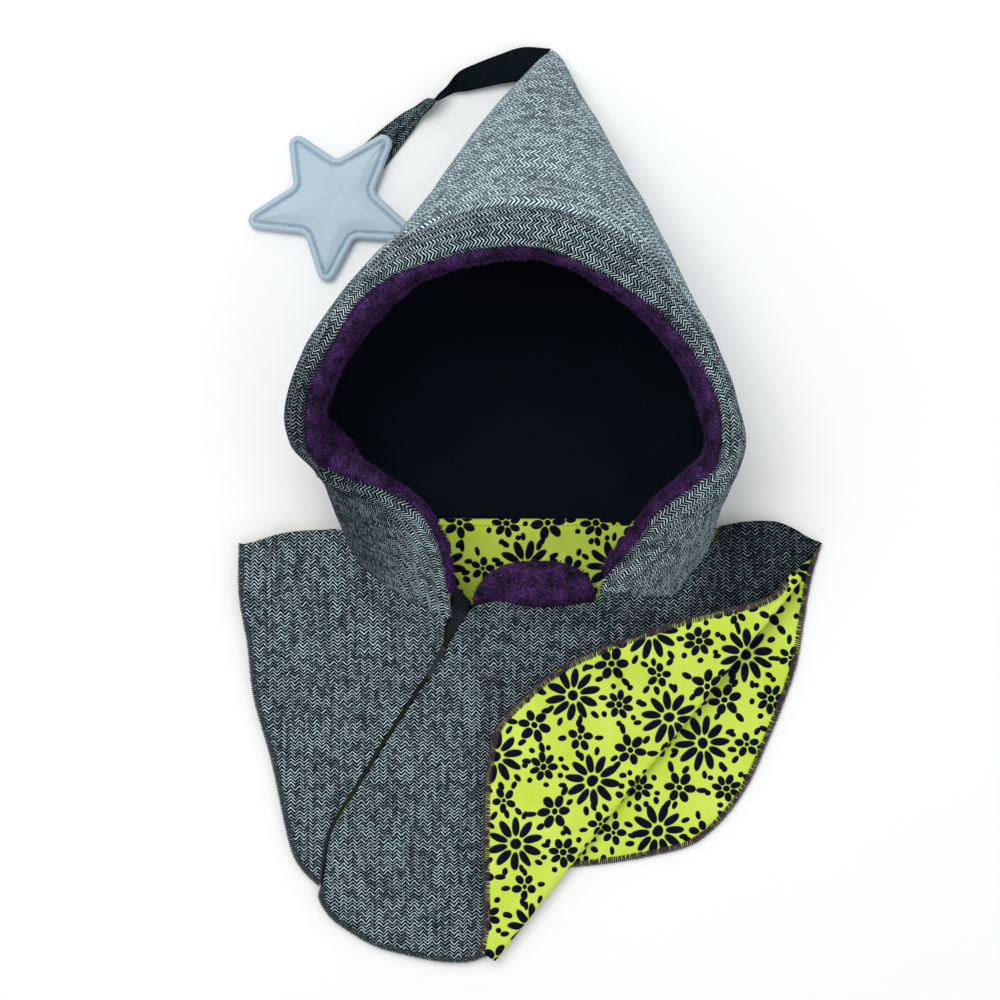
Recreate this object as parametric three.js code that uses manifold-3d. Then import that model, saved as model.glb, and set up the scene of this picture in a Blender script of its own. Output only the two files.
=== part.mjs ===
// A child's pointed hood with a short shoulder cape, laid on its back with the face opening up.
// Millimetres, +Z up. The table is z = 0. The tables below count y from the back neck seam, and the finished
// group is moved so that the origin is a point of the back panel's underside a little below that seam.
import * as THREE from "three";
import { mergeVertices } from "three/addons/utils/BufferGeometryUtils.js";
import Module from "manifold-3d";

const wasm = await Module();
wasm.setup();

// Driving sizes
const ORIGIN_BELOW_NECK = 10;
const VIEW_HEIGHT = 1400; // the outline tables are seen from this height
const VIEW_X = -19; // point of the table under the viewpoint
const VIEW_Y = 13;
const TIP_Y = 309; // the hood's point
const TIP_Z = 6;
const TIP_ROUNDING = 10;
const UPPER_ROUND = 2.2; // 2 is an ellipse, more is squarer: the body's section over its widest place
const LOWER_ROUND = 2.9; // and under it, where it settles on the table
const TWEED = 2; // cloth thicknesses
const LINING = 1.2;
const CAPE_TWEED = 1.5;
const CAPE_LINING = 1;
const PLUSH = 5;
const GAP = 0.3; // between neighbouring pieces
const LINING_GAP = 2.2; // the lining hangs a little clear of the shell
const RIM_ROLL = 9; // radius of the rolled rim
const RIM_TURN = (150 * Math.PI) / 180;
const RIM_TURN_CORNER = (40 * Math.PI) / 180; // the roll runs out at the neck corners
const FRONT_REST = 3.1; // underside of the front panels where they lie on the back
const BACK_LINING = CAPE_TWEED + GAP; // underside of the back panel's lining
const FRONT_TWEED = CAPE_LINING + GAP; // underside of the front's tweed over that of its lining
const CLOTH_TOP = FRONT_TWEED + CAPE_TWEED;
const FLAP_TURN = 5.6; // radius of the turned-over corner
const STAR_RADIUS = 64; // to the corners that the arm tips round off
const STAR_WAIST = 28;
const STAR_THICKNESS = 7;
const STRAP_THICKNESS = 1.6;
const PULL_LENGTH = 18;
const PULL_WIDTH = 4;

// Hood sections from the point to the neck. y: place along the hood. left, right: outline seen from above.
// height: crest over the table. wide: height of the widest place.
const BODY = [
  { y: 309, left: 11, right: 20, height: 13, wide: 6 },
  { y: 288, left: -9, right: 30, height: 44, wide: 21 },
  { y: 260, left: -33, right: 47, height: 82, wide: 38 },
  { y: 224, left: -59, right: 66, height: 126, wide: 58 },
  { y: 195, left: -81, right: 83, height: 158, wide: 74 },
  { y: 172, left: -104, right: 95, height: 168, wide: 84 },
  { y: 145, left: -127, right: 108, height: 167, wide: 95 },
  { y: 112, left: -149, right: 126, height: 162, wide: 104 },
  { y: 69, left: -161, right: 140, height: 152, wide: 104 },
  { y: 50, left: -157, right: 143, height: 145, wide: 100 },
  { y: 30, left: -140, right: 137, height: 130, wide: 88 },
  { y: 0, left: -126, right: 125, height: 104, wide: 60 },
  { y: -22, left: -118, right: 117, height: 80, wide: 44 },
  { y: -43, left: -108, right: 106, height: 60, wide: 32 },
  { y: -69, left: -103, right: 102, height: 44, wide: 24 },
  { y: -90, left: -100, right: 100, height: 40, wide: 20 },
];

// Start of the rolled rim, from the left neck corner over the forehead to the right one, seen from above.
const RIM = [
  { x: -55, y: -65 },
  { x: -58, y: -46 },
  { x: -62, y: -27 },
  { x: -69, y: -12 },
  { x: -80, y: 1 },
  { x: -97, y: 10 },
  { x: -125, y: 20 },
  { x: -146, y: 33 },
  { x: -157, y: 54 },
  { x: -158, y: 72 },
  { x: -153, y: 93 },
  { x: -139, y: 121 },
  { x: -120, y: 149 },
  { x: -98, y: 168 },
  { x: -68, y: 181 },
  { x: -35, y: 190 },
  { x: -8, y: 192 },
  { x: 14, y: 190 },
  { x: 37, y: 180 },
  { x: 66, y: 165 },
  { x: 95, y: 143 },
  { x: 115, y: 119 },
  { x: 129, y: 94 },
  { x: 136, y: 74 },
  { x: 138, y: 52 },
  { x: 133, y: 32 },
  { x: 119, y: 18 },
  { x: 106, y: 8 },
  { x: 89, y: -4 },
  { x: 79, y: -16 },
  { x: 67, y: -27 },
  { x: 56, y: -38 },
  { x: 50, y: -48 },
];

// Neck seam from the front corner round the shoulder to the back: y and the angle round the section in
// degrees (90 the front, 180 or 0 the side, 270 or -90 the table).
const NECK_LEFT = [
  { y: -50, angle: 138 },
  { y: -32, angle: 160 },
  { y: -10, angle: 176 },
  { y: 0, angle: 205 },
  { y: 0, angle: 240 },
  { y: 0, angle: 270 },
];
const NECK_RIGHT = [
  { y: -48, angle: 48 },
  { y: -46, angle: 25 },
  { y: -20, angle: 4 },
  { y: 0, angle: -25 },
  { y: 0, angle: -60 },
  { y: 0, angle: -90 },
];

// Small helpers
const lerp = (a, b, t) => a + (b - a) * t;
const clamp = (v, lo, hi) => Math.min(hi, Math.max(lo, v));
const smooth = (t) => clamp(t, 0, 1) ** 2 * (3 - 2 * clamp(t, 0, 1));
const signedPower = (v, e) => Math.sign(v) * Math.abs(v) ** e;
const vec = (x, y, z) => new THREE.Vector3(x, y, z);

// Draws a point seen from above in towards the viewpoint's axis, for its height over the table.
function under(x, y, z) {
  const k = 1 - z / VIEW_HEIGHT;
  return vec(VIEW_X + (x - VIEW_X) * k, VIEW_Y + (y - VIEW_Y) * k, z);
}

// A smooth curve through the rows' values: cubic pieces with limited slopes, so that it never overshoots.
function through(xs, ys) {
  const n = xs.length;
  const step = xs.slice(1).map((x, i) => x - xs[i]);
  const rise = step.map((h, i) => (ys[i + 1] - ys[i]) / h);
  const slope = xs.map((_, i) => {
    if (i === 0) return rise[0];
    if (i === n - 1) return rise[n - 2];
    if (rise[i - 1] * rise[i] <= 0) return 0;
    return (2 * rise[i - 1] * rise[i]) / (rise[i - 1] + rise[i]);
  });
  return (x) => {
    let i = 0;
    while (i < n - 2 && x > xs[i + 1]) i++;
    const t = clamp((x - xs[i]) / step[i], 0, 1);
    const a = ys[i] * (1 + 2 * t) * (1 - t) ** 2 + slope[i] * step[i] * t * (1 - t) ** 2;
    return a + ys[i + 1] * t * t * (3 - 2 * t) + slope[i + 1] * step[i] * t * t * (t - 1);
  };
}

// A curve through plan points, as a function of the share of its length.
function planCurve(points) {
  const curve = new THREE.CatmullRomCurve3(points, false, "centripetal");
  curve.arcLengthDivisions = 400;
  return (t) => curve.getPointAt(clamp(t, 0, 1));
}

// Hood body
const down = (row) => TIP_Y - under(0, row.y, row.wide).y;
const sectionOf = {};
for (const key of ["left", "right", "height", "wide"]) {
  sectionOf[key] = through(BODY.map(down), BODY.map((row) => row[key]));
}

// The point of the body at y, at an angle round its section.
function bodyPoint(y, angle) {
  const far = TIP_Y - y;
  const wide = sectionOf.wide(far);
  const left = under(sectionOf.left(far), 0, wide).x;
  const right = under(sectionOf.right(far), 0, wide).x;
  const round = Math.sqrt(1 - (1 - clamp(far / TIP_ROUNDING, 0, 1)) ** 2);
  const depth = Math.sin(angle) > 0 ? sectionOf.height(far) - wide : wide;
  const power = Math.sin(angle) > 0 ? 2 / UPPER_ROUND : 2 / LOWER_ROUND;
  const middle = (left + right) / 2;
  const x = middle + ((right - left) / 2) * round * signedPower(Math.cos(angle), power);
  const z = wide + depth * signedPower(Math.sin(angle), power);
  return vec(x, y, lerp(TIP_Z, z, round));
}

// The angle at which the body's upper side is seen at a plan point, with the real y of that point.
function seenOnBody({ x, y }) {
  let z = 0;
  let angle = 0;
  let real = vec(0, 0, 0);
  for (let pass = 0; pass < 12; pass++) {
    real = under(x, y, z);
    const far = TIP_Y - real.y;
    const wide = sectionOf.wide(far);
    const left = under(sectionOf.left(far), 0, wide).x;
    const right = under(sectionOf.right(far), 0, wide).x;
    const share = clamp((real.x - (left + right) / 2) / ((right - left) / 2), -1, 1);
    angle = Math.acos(signedPower(share, UPPER_ROUND / 2));
    z = bodyPoint(real.y, angle).z;
  }
  return { y: real.y, angle: (angle * 180) / Math.PI };
}

// The body unrolled like a cone from its point: p sideways, q along, both in millimetres over the cloth.
const CONE_SPREAD = 93.5 / 180;
const RAY_STEPS = 90;
const RAY_END = -100;
const rays = new Map();
function rayOf(angle) {
  const key = Math.round(angle * 50);
  if (!rays.has(key)) {
    const ys = [];
    const lengths = [];
    let last = null;
    let length = 0;
    for (let i = 0; i <= RAY_STEPS; i++) {
      const y = lerp(TIP_Y, RAY_END, (i / RAY_STEPS) ** 1.5);
      const point = bodyPoint(y, (angle * Math.PI) / 180);
      if (last) length += point.distanceTo(last);
      last = point;
      ys.push(y);
      lengths.push(length);
    }
    rays.set(key, { ys, lengths });
  }
  return rays.get(key);
}

function interpolate(xs, ys, x) {
  let i = 0;
  while (i < xs.length - 2 && x > xs[i + 1]) i++;
  return lerp(ys[i], ys[i + 1], (x - xs[i]) / (xs[i + 1] - xs[i]));
}

function unroll({ y, angle }) {
  const ray = rayOf(angle);
  const far = interpolate(ray.ys.map((v) => -v), ray.lengths, -y);
  const turn = ((angle - 90) * CONE_SPREAD * Math.PI) / 180;
  return vec(far * Math.sin(turn), -far * Math.cos(turn), 0);
}

function rollUp(point) {
  const far = Math.hypot(point.x, point.y);
  const turn = far < 1e-6 ? 0 : Math.atan2(point.x, -point.y);
  const angle = 90 + (turn * 180) / Math.PI / CONE_SPREAD;
  const ray = rayOf(angle);
  const y = interpolate(ray.lengths, ray.ys, far);
  return bodyPoint(y, (angle * Math.PI) / 180);
}

// The hood's cloth: t runs along the rim from the left corner to the right one, s from the rim to the
// back seam.
const rimSeats = RIM.map(seenOnBody);
const offMiddle = rimSeats.map((seat) => Math.abs(seat.angle - 90));
const middleRim = offMiddle.indexOf(Math.min(...offMiddle));
rimSeats[middleRim].angle = 90;
const rimLeft = planCurve(rimSeats.slice(0, middleRim + 1).reverse().map(unroll));
const rimRight = planCurve(rimSeats.slice(middleRim).map(unroll));
const neckLeft = planCurve([rimSeats[0], ...NECK_LEFT].map(unroll));
const neckRight = planCurve([rimSeats.at(-1), ...NECK_RIGHT].map(unroll));

function hoodPoint(t, s) {
  const isLeft = t < 0.5;
  const side = Math.abs(t - 0.5) * 2;
  const rim = isLeft ? rimLeft : rimRight;
  const neck = isLeft ? neckLeft : neckRight;
  const crest = rim(0);
  const corner = rim(1);
  const back = neck(1);
  const point = rim(side).multiplyScalar(1 - s);
  point.add(back.clone().multiplyScalar(s * side));
  point.add(crest.clone().multiplyScalar((1 - s) * (1 - side)));
  point.add(neck(s).multiplyScalar(side));
  point.sub(crest.multiplyScalar((1 - s) * (1 - side)));
  point.sub(corner.multiplyScalar((1 - s) * side));
  point.sub(back.multiplyScalar(s * side));
  return rollUp(point);
}

// Unit vector out of the cloth, from the neighbouring points.
const INSIDE = vec(-5, 60, 60); // a point in the middle of the hood
function hoodNormal(t, s) {
  if (s > 0.999) {
    const tip = smooth(1 - Math.abs(t - 0.5) * 24);
    return vec(0, tip, tip - 1).normalize();
  }
  const step = 0.004;
  const lo = t <= 0.5 ? 0 : 0.5 + 1e-6;
  const hi = t <= 0.5 ? 0.5 - 1e-6 : 1;
  const along = hoodPoint(clamp(t + step, lo, hi), s).sub(hoodPoint(clamp(t - step, lo, hi), s));
  const across = hoodPoint(t, Math.min(s + step, 0.999)).sub(hoodPoint(t, Math.max(s - step, 0)));
  const normal = along.cross(across).normalize();
  const outward = hoodPoint(t, s).sub(INSIDE);
  return normal.dot(outward) < 0 ? normal.negate() : normal;
}

// Directions at the start of the rim's roll: normal out of the cloth, over towards the opening. The roll is
// slimmer towards the neck corners.
const RIM_CORNER_SIZE = 0.55;
function rimFrame(t) {
  const normal = hoodNormal(t, 0);
  const along = hoodPoint(clamp(t + 0.01, 0, 1), 0).sub(hoodPoint(clamp(t - 0.01, 0, 1), 0));
  const over = normal.clone().cross(along).normalize();
  const into = hoodPoint(t, 0).sub(hoodPoint(t, 0.06));
  if (over.dot(into) < 0) over.negate();
  const size = lerp(RIM_CORNER_SIZE, 1, smooth((0.5 - Math.abs(t - 0.5)) / 0.16));
  return { start: hoodPoint(t, 0), normal, over, size };
}

// A point of the rim's section: over and inward from the start of the roll.
function rimPoint(frame, over, inward) {
  return frame.start
    .clone()
    .addScaledVector(frame.over, over * frame.size)
    .addScaledVector(frame.normal, -inward * frame.size);
}

function lipPoint(frame, turn, depth) {
  const radius = RIM_ROLL - depth / frame.size;
  return rimPoint(frame, radius * Math.sin(turn), RIM_ROLL - radius * Math.cos(turn));
}

// Solids
function meshOf(name, geometry, look) {
  geometry.computeVertexNormals();
  const mesh = new THREE.Mesh(geometry, new THREE.MeshStandardMaterial(look));
  mesh.name = name;
  return mesh;
}

function indexed(points, faces) {
  const geometry = new THREE.BufferGeometry();
  const numbers = points.flatMap((point) => point.toArray());
  geometry.setAttribute("position", new THREE.Float32BufferAttribute(numbers, 3));
  geometry.setIndex(faces.flat());
  return geometry;
}

// A sheet with an upper and a lower side on the same faces, closed along its open edges.
function sheetSolid(upper, lower, faces) {
  const count = upper.length;
  const edges = new Map();
  for (const [a, b, c] of faces) {
    edges.set(a + ":" + b, [a, b]);
    edges.set(b + ":" + c, [b, c]);
    edges.set(c + ":" + a, [c, a]);
  }
  const all = [...faces, ...faces.map(([a, b, c]) => [a + count, c + count, b + count])];
  for (const [from, to] of edges.values()) {
    if (edges.has(to + ":" + from)) continue;
    all.push([to, from, from + count], [to, from + count, to + count]);
  }
  return indexed([...upper, ...lower], all);
}

// Faces of a grid whose point (column, row) has the number given by at.
function gridFaces(columns, rows, at, flip = false) {
  const faces = [];
  for (let i = 0; i < columns; i++) {
    for (let j = 0; j < rows; j++) {
      const [a, b, c, d] = [at(i, j), at(i + 1, j), at(i + 1, j + 1), at(i, j + 1)];
      for (const face of [[a, b, c], [a, c, d]]) {
        if (new Set(face).size === 3) faces.push(flip ? [face[0], face[2], face[1]] : face);
      }
    }
  }
  return faces;
}

// A solid through closed sections of equal count, with flat ends.
function loftSolid(sections) {
  const n = sections[0].length;
  const points = sections.flat();
  const faces = gridFaces(sections.length - 1, n, (i, j) => i * n + (j % n));
  const centre = (section) => section.reduce((sum, p) => sum.add(p), vec(0, 0, 0)).divideScalar(n);
  const first = points.push(centre(sections[0])) - 1;
  const last = points.push(centre(sections.at(-1))) - 1;
  const end = (sections.length - 1) * n;
  for (let j = 0; j < n; j++) {
    faces.push([first, j, (j + 1) % n], [last, end + ((j + 1) % n), end + j]);
  }
  return indexed(points, faces);
}

// Turns the faces round where a solid came out inside out.
function facingOut(geometry) {
  if (!geometry.index) return geometry;
  const p = geometry.getAttribute("position");
  const index = geometry.index.array;
  let volume = 0;
  for (let i = 0; i < index.length; i += 3) {
    const [a, b, c] = [0, 1, 2].map((k) => vec().fromBufferAttribute(p, index[i + k]));
    volume += a.dot(b.cross(c));
  }
  if (volume >= 0) return geometry;
  for (let i = 0; i < index.length; i += 3) {
    [index[i], index[i + 1]] = [index[i + 1], index[i]];
  }
  return geometry;
}

// Numbers the points of a hood grid, whose last row is one seam shared by the left and the right half.
function seamGrid(columns, rows) {
  return (i, j) => {
    if (j < rows) return i * rows + j;
    return (columns + 1) * rows + Math.min(i, columns - i);
  };
}

function seamPoints(columns, rows, pointAt) {
  const points = [];
  for (let i = 0; i <= columns; i++) {
    for (let j = 0; j < rows; j++) points.push(pointAt(i / columns, j));
  }
  for (let i = 0; i <= columns / 2; i++) points.push(pointAt(i / columns, rows));
  return points;
}

function hoodShell(thickness = TWEED) {
  const columns = 50;
  const lip = 4;
  const rows = lip + 12;
  const pointAt = (depth) => (t, row) => {
    if (row < lip) {
      const frame = rimFrame(t);
      const turn = lerp(RIM_TURN_CORNER, RIM_TURN, smooth((0.5 - Math.abs(t - 0.5)) / 0.14));
      return lipPoint(frame, turn * (1 - row / lip), depth);
    }
    const s = ((row - lip) / (rows - lip)) ** 1.1;
    return hoodPoint(t, s).addScaledVector(hoodNormal(t, s), -depth);
  };
  const outer = seamPoints(columns, rows, pointAt(0));
  const inner = seamPoints(columns, rows, pointAt(thickness));
  return sheetSolid(outer, inner, gridFaces(columns, rows, seamGrid(columns, rows)));
}

// The plush facing lies inside the rolled rim and the lining follows from its lower edge. Both are placed in
// the rim's section: over towards the opening, and inward from the outer cloth.
const PLUSH_BACK = [
  { over: 3.4, inward: 17.8 },
  { over: -3, inward: 20 },
  { over: -11, inward: 23 },
  { over: -18.5, inward: 23.5 },
];
const LIP_END = 17; // inward reach of the rolled lip
const LINING_START = 28; // distance of the lining's edge from the start of the roll
const LINING_INWARD = 22.5; // its reach inward there
const LINING_SETTLE = 34;

// Widens or narrows the plush round the rim, as the facing rolls into view more at the left cheek.
const plushShow = (t) => 1 + 0.5 * smooth(1 - Math.abs(t - 0.25) / 0.13);

function rimPlush(swell = 0) {
  const sections = [];
  const count = 54;
  for (let i = 0; i <= count; i++) {
    const t = lerp(0.02 - swell * 0.02, 0.98 + swell * 0.02, i / count);
    const frame = rimFrame(t);
    const rows = PLUSH_BACK.map(({ over, inward }) => [over, lerp(LIP_END, inward, plushShow(t))]);
    const back = rows.map(([over, inward]) => rimPoint(frame, over - swell, inward - swell));
    const face = rows.map(([over, inward], k) => {
      const lean = k === 0 ? 0.5 : 0.25;
      return rimPoint(frame, over + PLUSH * lean - swell, inward + PLUSH * (1 - lean * 0.3) + swell);
    });
    const front = rimPoint(frame, 1 + PLUSH * 0.6 + swell, lerp(LIP_END, 18, plushShow(t)) + PLUSH + swell);
    sections.push([...back, ...face.slice(1).reverse(), front]);
  }
  return loftSolid(sections);
}

// Distance from a point of the hood to the rim.
const RIM_SAMPLES = 100;
const rimCurve = [];
for (let i = 0; i <= RIM_SAMPLES; i++) rimCurve.push(hoodPoint(i / RIM_SAMPLES, 0));
const fromRim = (point) => Math.min(...rimCurve.map((at) => at.distanceTo(point)));

// The place down a column of the hood that lies a given distance from the rim.
function downTo(t, distance) {
  let lo = 0;
  let hi = 0.6;
  for (let pass = 0; pass < 12; pass++) {
    const middle = (lo + hi) / 2;
    if (fromRim(hoodPoint(t, middle)) < distance) lo = middle;
    else hi = middle;
  }
  return hi;
}

// The lining: at its start it continues the plush, then it settles against the shell.
function liningPoint(t, s, depth) {
  const point = hoodPoint(t, s);
  const frame = rimFrame(t);
  const far = fromRim(point) / frame.size;
  const below = rimPoint(frame, -far, LINING_INWARD + depth / frame.size);
  const near = (far - LINING_START) / LINING_SETTLE;
  const bulge = s < 1 ? LINING_INWARD * frame.size * Math.exp(-near * near) : 0;
  point.addScaledVector(hoodNormal(t, s), -(TWEED + LINING_GAP + depth + bulge * 0.85));
  return below.lerp(point, smooth((far - LINING_START) / 14));
}

function hoodLining() {
  const columns = 44;
  const rows = 10;
  const shellTip = vec(15, TIP_Y, TIP_Z);
  const liningTip = vec(14, TIP_Y - 25, TIP_Z + 7); // the lining stops short of the shell's point
  const pointAt = (depth) => (share, row) => {
    const margin = lerp(0.035, 0.006, row / rows);
    const t = lerp(margin, 1 - margin, share);
    const s = lerp(downTo(t, LINING_START * rimFrame(t).size), 1, row / rows);
    const toTip = hoodPoint(t, s).distanceTo(shellTip);
    return liningPoint(t, s, depth).lerp(liningTip, clamp(1 - toTip / 60, 0, 1) ** 2);
  };
  const outer = seamPoints(columns, rows, pointAt(0));
  const inner = seamPoints(columns, rows, pointAt(LINING));
  return sheetSolid(outer, inner, gridFaces(columns, rows, seamGrid(columns, rows)));
}

// Cape outlines, seen from above
const FRONT_NECKLINE = [
  { x: -37, y: -56 },
  { x: -20, y: -52 },
  { x: -1, y: -56 },
  { x: 25, y: -55 },
  { x: 42, y: -52 },
];
const NECKLINE_HEIGHT = 40;
const LEFT_SHOULDER = [
  { x: -126, y: -6 },
  { x: -150, y: -7 },
  { x: -164, y: -9 },
  { x: -184, y: -15 },
  { x: -190, y: -16 },
];
const RIGHT_SHOULDER = [
  { x: 125, y: -4 },
  { x: 141, y: -1 },
  { x: 162, y: -1 },
  { x: 173, y: -5 },
  { x: 183, y: -11 },
  { x: 192, y: -15 },
];
const LEFT_HEM = [
  { x: -190, y: -16 },
  { x: -189, y: -52 },
  { x: -184, y: -81 },
  { x: -180, y: -115 },
  { x: -168, y: -158 },
  { x: -154, y: -218 },
  { x: -148, y: -229 },
  { x: -137, y: -240 },
];
const ZIP_LINE = [
  { x: -46, y: -59, half: 6.5 },
  { x: -51, y: -70, half: 4 },
  { x: -54, y: -79, half: 1.6 },
  { x: -64, y: -98, half: 1.2 },
  { x: -78, y: -119, half: 1.2 },
  { x: -101, y: -155, half: 1.2 },
  { x: -113, y: -175, half: 1.2 },
  { x: -131, y: -205, half: 1.2 },
  { x: -137, y: -240, half: 1.2 },
];
const RIGHT_HEM = [
  { x: -138, y: -247 },
  { x: -132, y: -259 },
  { x: -118, y: -270 },
  { x: -100, y: -280 },
  { x: -82, y: -285 },
  { x: -56, y: -290 },
  { x: -40, y: -290 },
];
const FOLD_BOTTOM = { x: -22, y: -289 };
const FOLD_TOP = { x: 178, y: -38 };
const FLAP_EDGE = [
  { x: -32, y: -282 },
  { x: -29, y: -262 },
  { x: -29, y: -236 },
  { x: -29, y: -200 },
  { x: -27, y: -162 },
  { x: -19, y: -132 },
  { x: 1, y: -111 },
  { x: 20, y: -96 },
  { x: 57, y: -79 },
  { x: 99, y: -65 },
  { x: 135, y: -56 },
  { x: 153, y: -51 },
  { x: 161, y: -46 },
  { x: 171, y: -33 },
];
const HEM_END = [
  { x: 190, y: -17 },
  { x: 184, y: -27 },
];
const BACK_HEM = [
  { x: 192, y: -15 },
  { x: 187, y: -31 },
  { x: 183, y: -50 },
  { x: 179, y: -75 },
  { x: 173, y: -105 },
  { x: 162, y: -132 },
  { x: 143, y: -175 },
  { x: 113, y: -210 },
  { x: 73, y: -222 },
  { x: 28, y: -228 },
  { x: 0, y: -230 },
];

const flat = ({ x, y }) => vec(x, y, 0);
const outline = (rows) => planCurve(rows.map(flat));

// Points of the neck seam with their heights, from the left shoulder over the front to the right one.
const NECK_STEPS = 16;
const NECK_TO_SHOULDER = 0.5; // share of the hood's neck edge that lies in front
const neckPoint = (t, share) => hoodPoint(t, share * NECK_TO_SHOULDER);
const neckSeam = [];
for (let i = NECK_STEPS; i >= 0; i--) neckSeam.push(neckPoint(0, i / NECK_STEPS));
for (const { x, y } of FRONT_NECKLINE) neckSeam.push(under(x, y, NECKLINE_HEIGHT));
for (let i = 0; i <= NECK_STEPS; i++) neckSeam.push(neckPoint(1, i / NECK_STEPS));

function nearest(points, x, y) {
  let best = { distance: Infinity, z: 0 };
  for (let i = 0; i + 1 < points.length; i++) {
    const a = points[i];
    const b = points[i + 1];
    const along = vec(b.x - a.x, b.y - a.y, 0);
    const t = clamp(vec(x - a.x, y - a.y, 0).dot(along) / along.lengthSq(), 0, 1);
    const distance = Math.hypot(x - lerp(a.x, b.x, t), y - lerp(a.y, b.y, t));
    if (distance < best.distance) best = { distance, z: lerp(a.z, b.z, t) };
  }
  return best;
}

// Height of the front panels' underside: high at the neck, a valley below it, then down to the back panel.
const SLOPE = [
  { from: 0, share: 1 },
  { from: 8, share: 0.72 },
  { from: 20, share: 0.42 },
  { from: 38, share: 0.44 },
  { from: 60, share: 0.24 },
  { from: 95, share: 0.05 },
  { from: 130, share: 0 },
];
const slopeShare = through(SLOPE.map((row) => row.from), SLOPE.map((row) => row.share));
const STEEPEST = 2.2; // limit of that allowance
const SHOULDER_ROLL = 32; // width over which the front rises from the shoulder's edge
const shoulders = [LEFT_SHOULDER.map(flat), RIGHT_SHOULDER.map(flat)];

const ROLL_HEIGHT = 9; // of the fold that runs beside the shoulder's edge
const ROLL_START = 14;
const ROLL_END = 70;

function frontHeight(x, y) {
  const neck = nearest(neckSeam, x, y);
  const side = Math.min(...shoulders.map((line) => nearest(line, x, y).distance));
  const top = neck.z - SEAM_DROP - FRONT_REST - CAPE_TWEED - CAPE_LINING - GAP;
  const rise = Math.max(0, top) * slopeShare(Math.min(neck.distance, SLOPE.at(-1).from));
  const roll = ROLL_HEIGHT * smooth(side / ROLL_START) * smooth(1 - side / ROLL_END);
  return FRONT_REST + Math.max(rise, roll) * lerp(0.2, 1, smooth(side / SHOULDER_ROLL));
}

// Height over the front panels' underside that leaves the cloth its thickness where the panel slopes.
function frontAt(at, over) {
  const step = 1.5;
  const height = frontHeight(at.x, at.y);
  const slopeX = (frontHeight(at.x + step, at.y) - height) / step;
  const slopeY = (frontHeight(at.x, at.y + step) - height) / step;
  return at.setZ(height + over * Math.min(STEEPEST, Math.hypot(1, slopeX, slopeY)));
}

// The point of a patch inside four edges: top and bottom run across, left and right run down.
function patchPoint({ top, bottom, left, right }, t, s) {
  const point = top(t).multiplyScalar(1 - s).add(bottom(t).multiplyScalar(s));
  point.add(left(s).multiplyScalar(1 - t)).add(right(s).multiplyScalar(t));
  point.addScaledVector(top(0), -(1 - s) * (1 - t)).addScaledVector(top(1), -(1 - s) * t);
  return point.addScaledVector(bottom(0), -s * (1 - t)).addScaledVector(bottom(1), -s * t);
}

// A sheet of the cape over a grid, from height low to height high over its underside.
function capeSheet(columns, rows, place, low, high) {
  const points = (over) => {
    const list = [];
    for (let i = 0; i <= columns; i++) {
      for (let j = 0; j <= rows; j++) list.push(place(i, j, over));
    }
    return list;
  };
  return sheetSolid(points(high), points(low), gridFaces(columns, rows, (i, j) => i * (rows + 1) + j));
}

// An edge parallel to a line, moved sideways to the left of its direction by offset (a number or a function).
function beside(line, offset, steps = 40) {
  const points = [];
  for (let i = 0; i <= steps; i++) {
    const t = i / steps;
    const ahead = line(Math.min(1, t + 0.01)).sub(line(Math.max(0, t - 0.01))).setZ(0).normalize();
    const by = typeof offset === "function" ? offset(t) : offset;
    points.push(line(t).setZ(0).add(vec(-ahead.y, ahead.x, 0).multiplyScalar(by)));
  }
  return planCurve(points);
}

const zipMiddle = outline(ZIP_LINE);
const zipRows = ZIP_LINE.map(({ x, y, half }) => vec(x, y, half));
const zipHalf = (t) => nearest(zipRows, zipMiddle(t).x, zipMiddle(t).y).z;
const zipLeft = beside(zipMiddle, (t) => -(zipHalf(t) + GAP));
const zipRight = beside(zipMiddle, (t) => zipHalf(t) + GAP);
const SEAM_CLEARANCE = 2.8;
const SEAM_DROP = 3; // the front panels start this far below the hood's edge
const seamLeft = beside((t) => neckPoint(0, t), -SEAM_CLEARANCE);
const seamRight = beside((t) => neckPoint(1, t), SEAM_CLEARANCE);

function joined(...lines) {
  const points = [];
  for (const line of lines) {
    for (let i = 0; i <= 12; i++) points.push(line(i / 12));
  }
  const spaced = points.filter((p, i) => i === 0 || p.distanceTo(points[i - 1]) > 2);
  return planCurve(spaced);
}

// Left front panel: top from the shoulder to the zip, bottom is the hem.
const leftPatch = {
  top: joined((t) => seamLeft(1 - t), () => zipLeft(0)),
  right: zipLeft,
  left: joined((t) => seamLeft(1).lerp(flat(LEFT_SHOULDER.at(-1)), t)),
  bottom: outline(LEFT_HEM),
};

// Right front panel in two patches: up to the fold, and the turned-over corner beyond it.
const foldEdge = (s) => flat(FOLD_TOP).lerp(flat(FOLD_BOTTOM), s);
const foldNormal = foldEdge(1).sub(foldEdge(0)).normalize();
foldNormal.set(-foldNormal.y, foldNormal.x, 0);
const foldStart = (s) => foldEdge(s).addScaledVector(foldNormal, -FLAP_TURN);
const RIGHT_ROWS = 16;
const SHOULDER_ROWS = 4; // rows above the fold's upper end
const shoulderShare = SHOULDER_ROWS / RIGHT_ROWS;
const shoulderToFold = joined(outline(RIGHT_SHOULDER), outline(HEM_END), () => foldStart(0));
const rightPatch = {
  top: joined(() => zipRight(0), outline(FRONT_NECKLINE), seamRight, () => flat(RIGHT_SHOULDER[0])),
  left: zipRight,
  right: (s) => {
    if (s <= shoulderShare) return shoulderToFold(s / shoulderShare);
    return foldStart((s - shoulderShare) / (1 - shoulderShare));
  },
  bottom: joined(() => zipRight(1), outline(RIGHT_HEM), () => foldStart(1)),
};
const foldLength = foldStart(0).distanceTo(foldStart(1));
const foldAlong = foldStart(1).sub(foldStart(0)).normalize();
const flapRows = [...FLAP_EDGE].reverse().map((row) => flat(row).sub(foldStart(0)));
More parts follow.
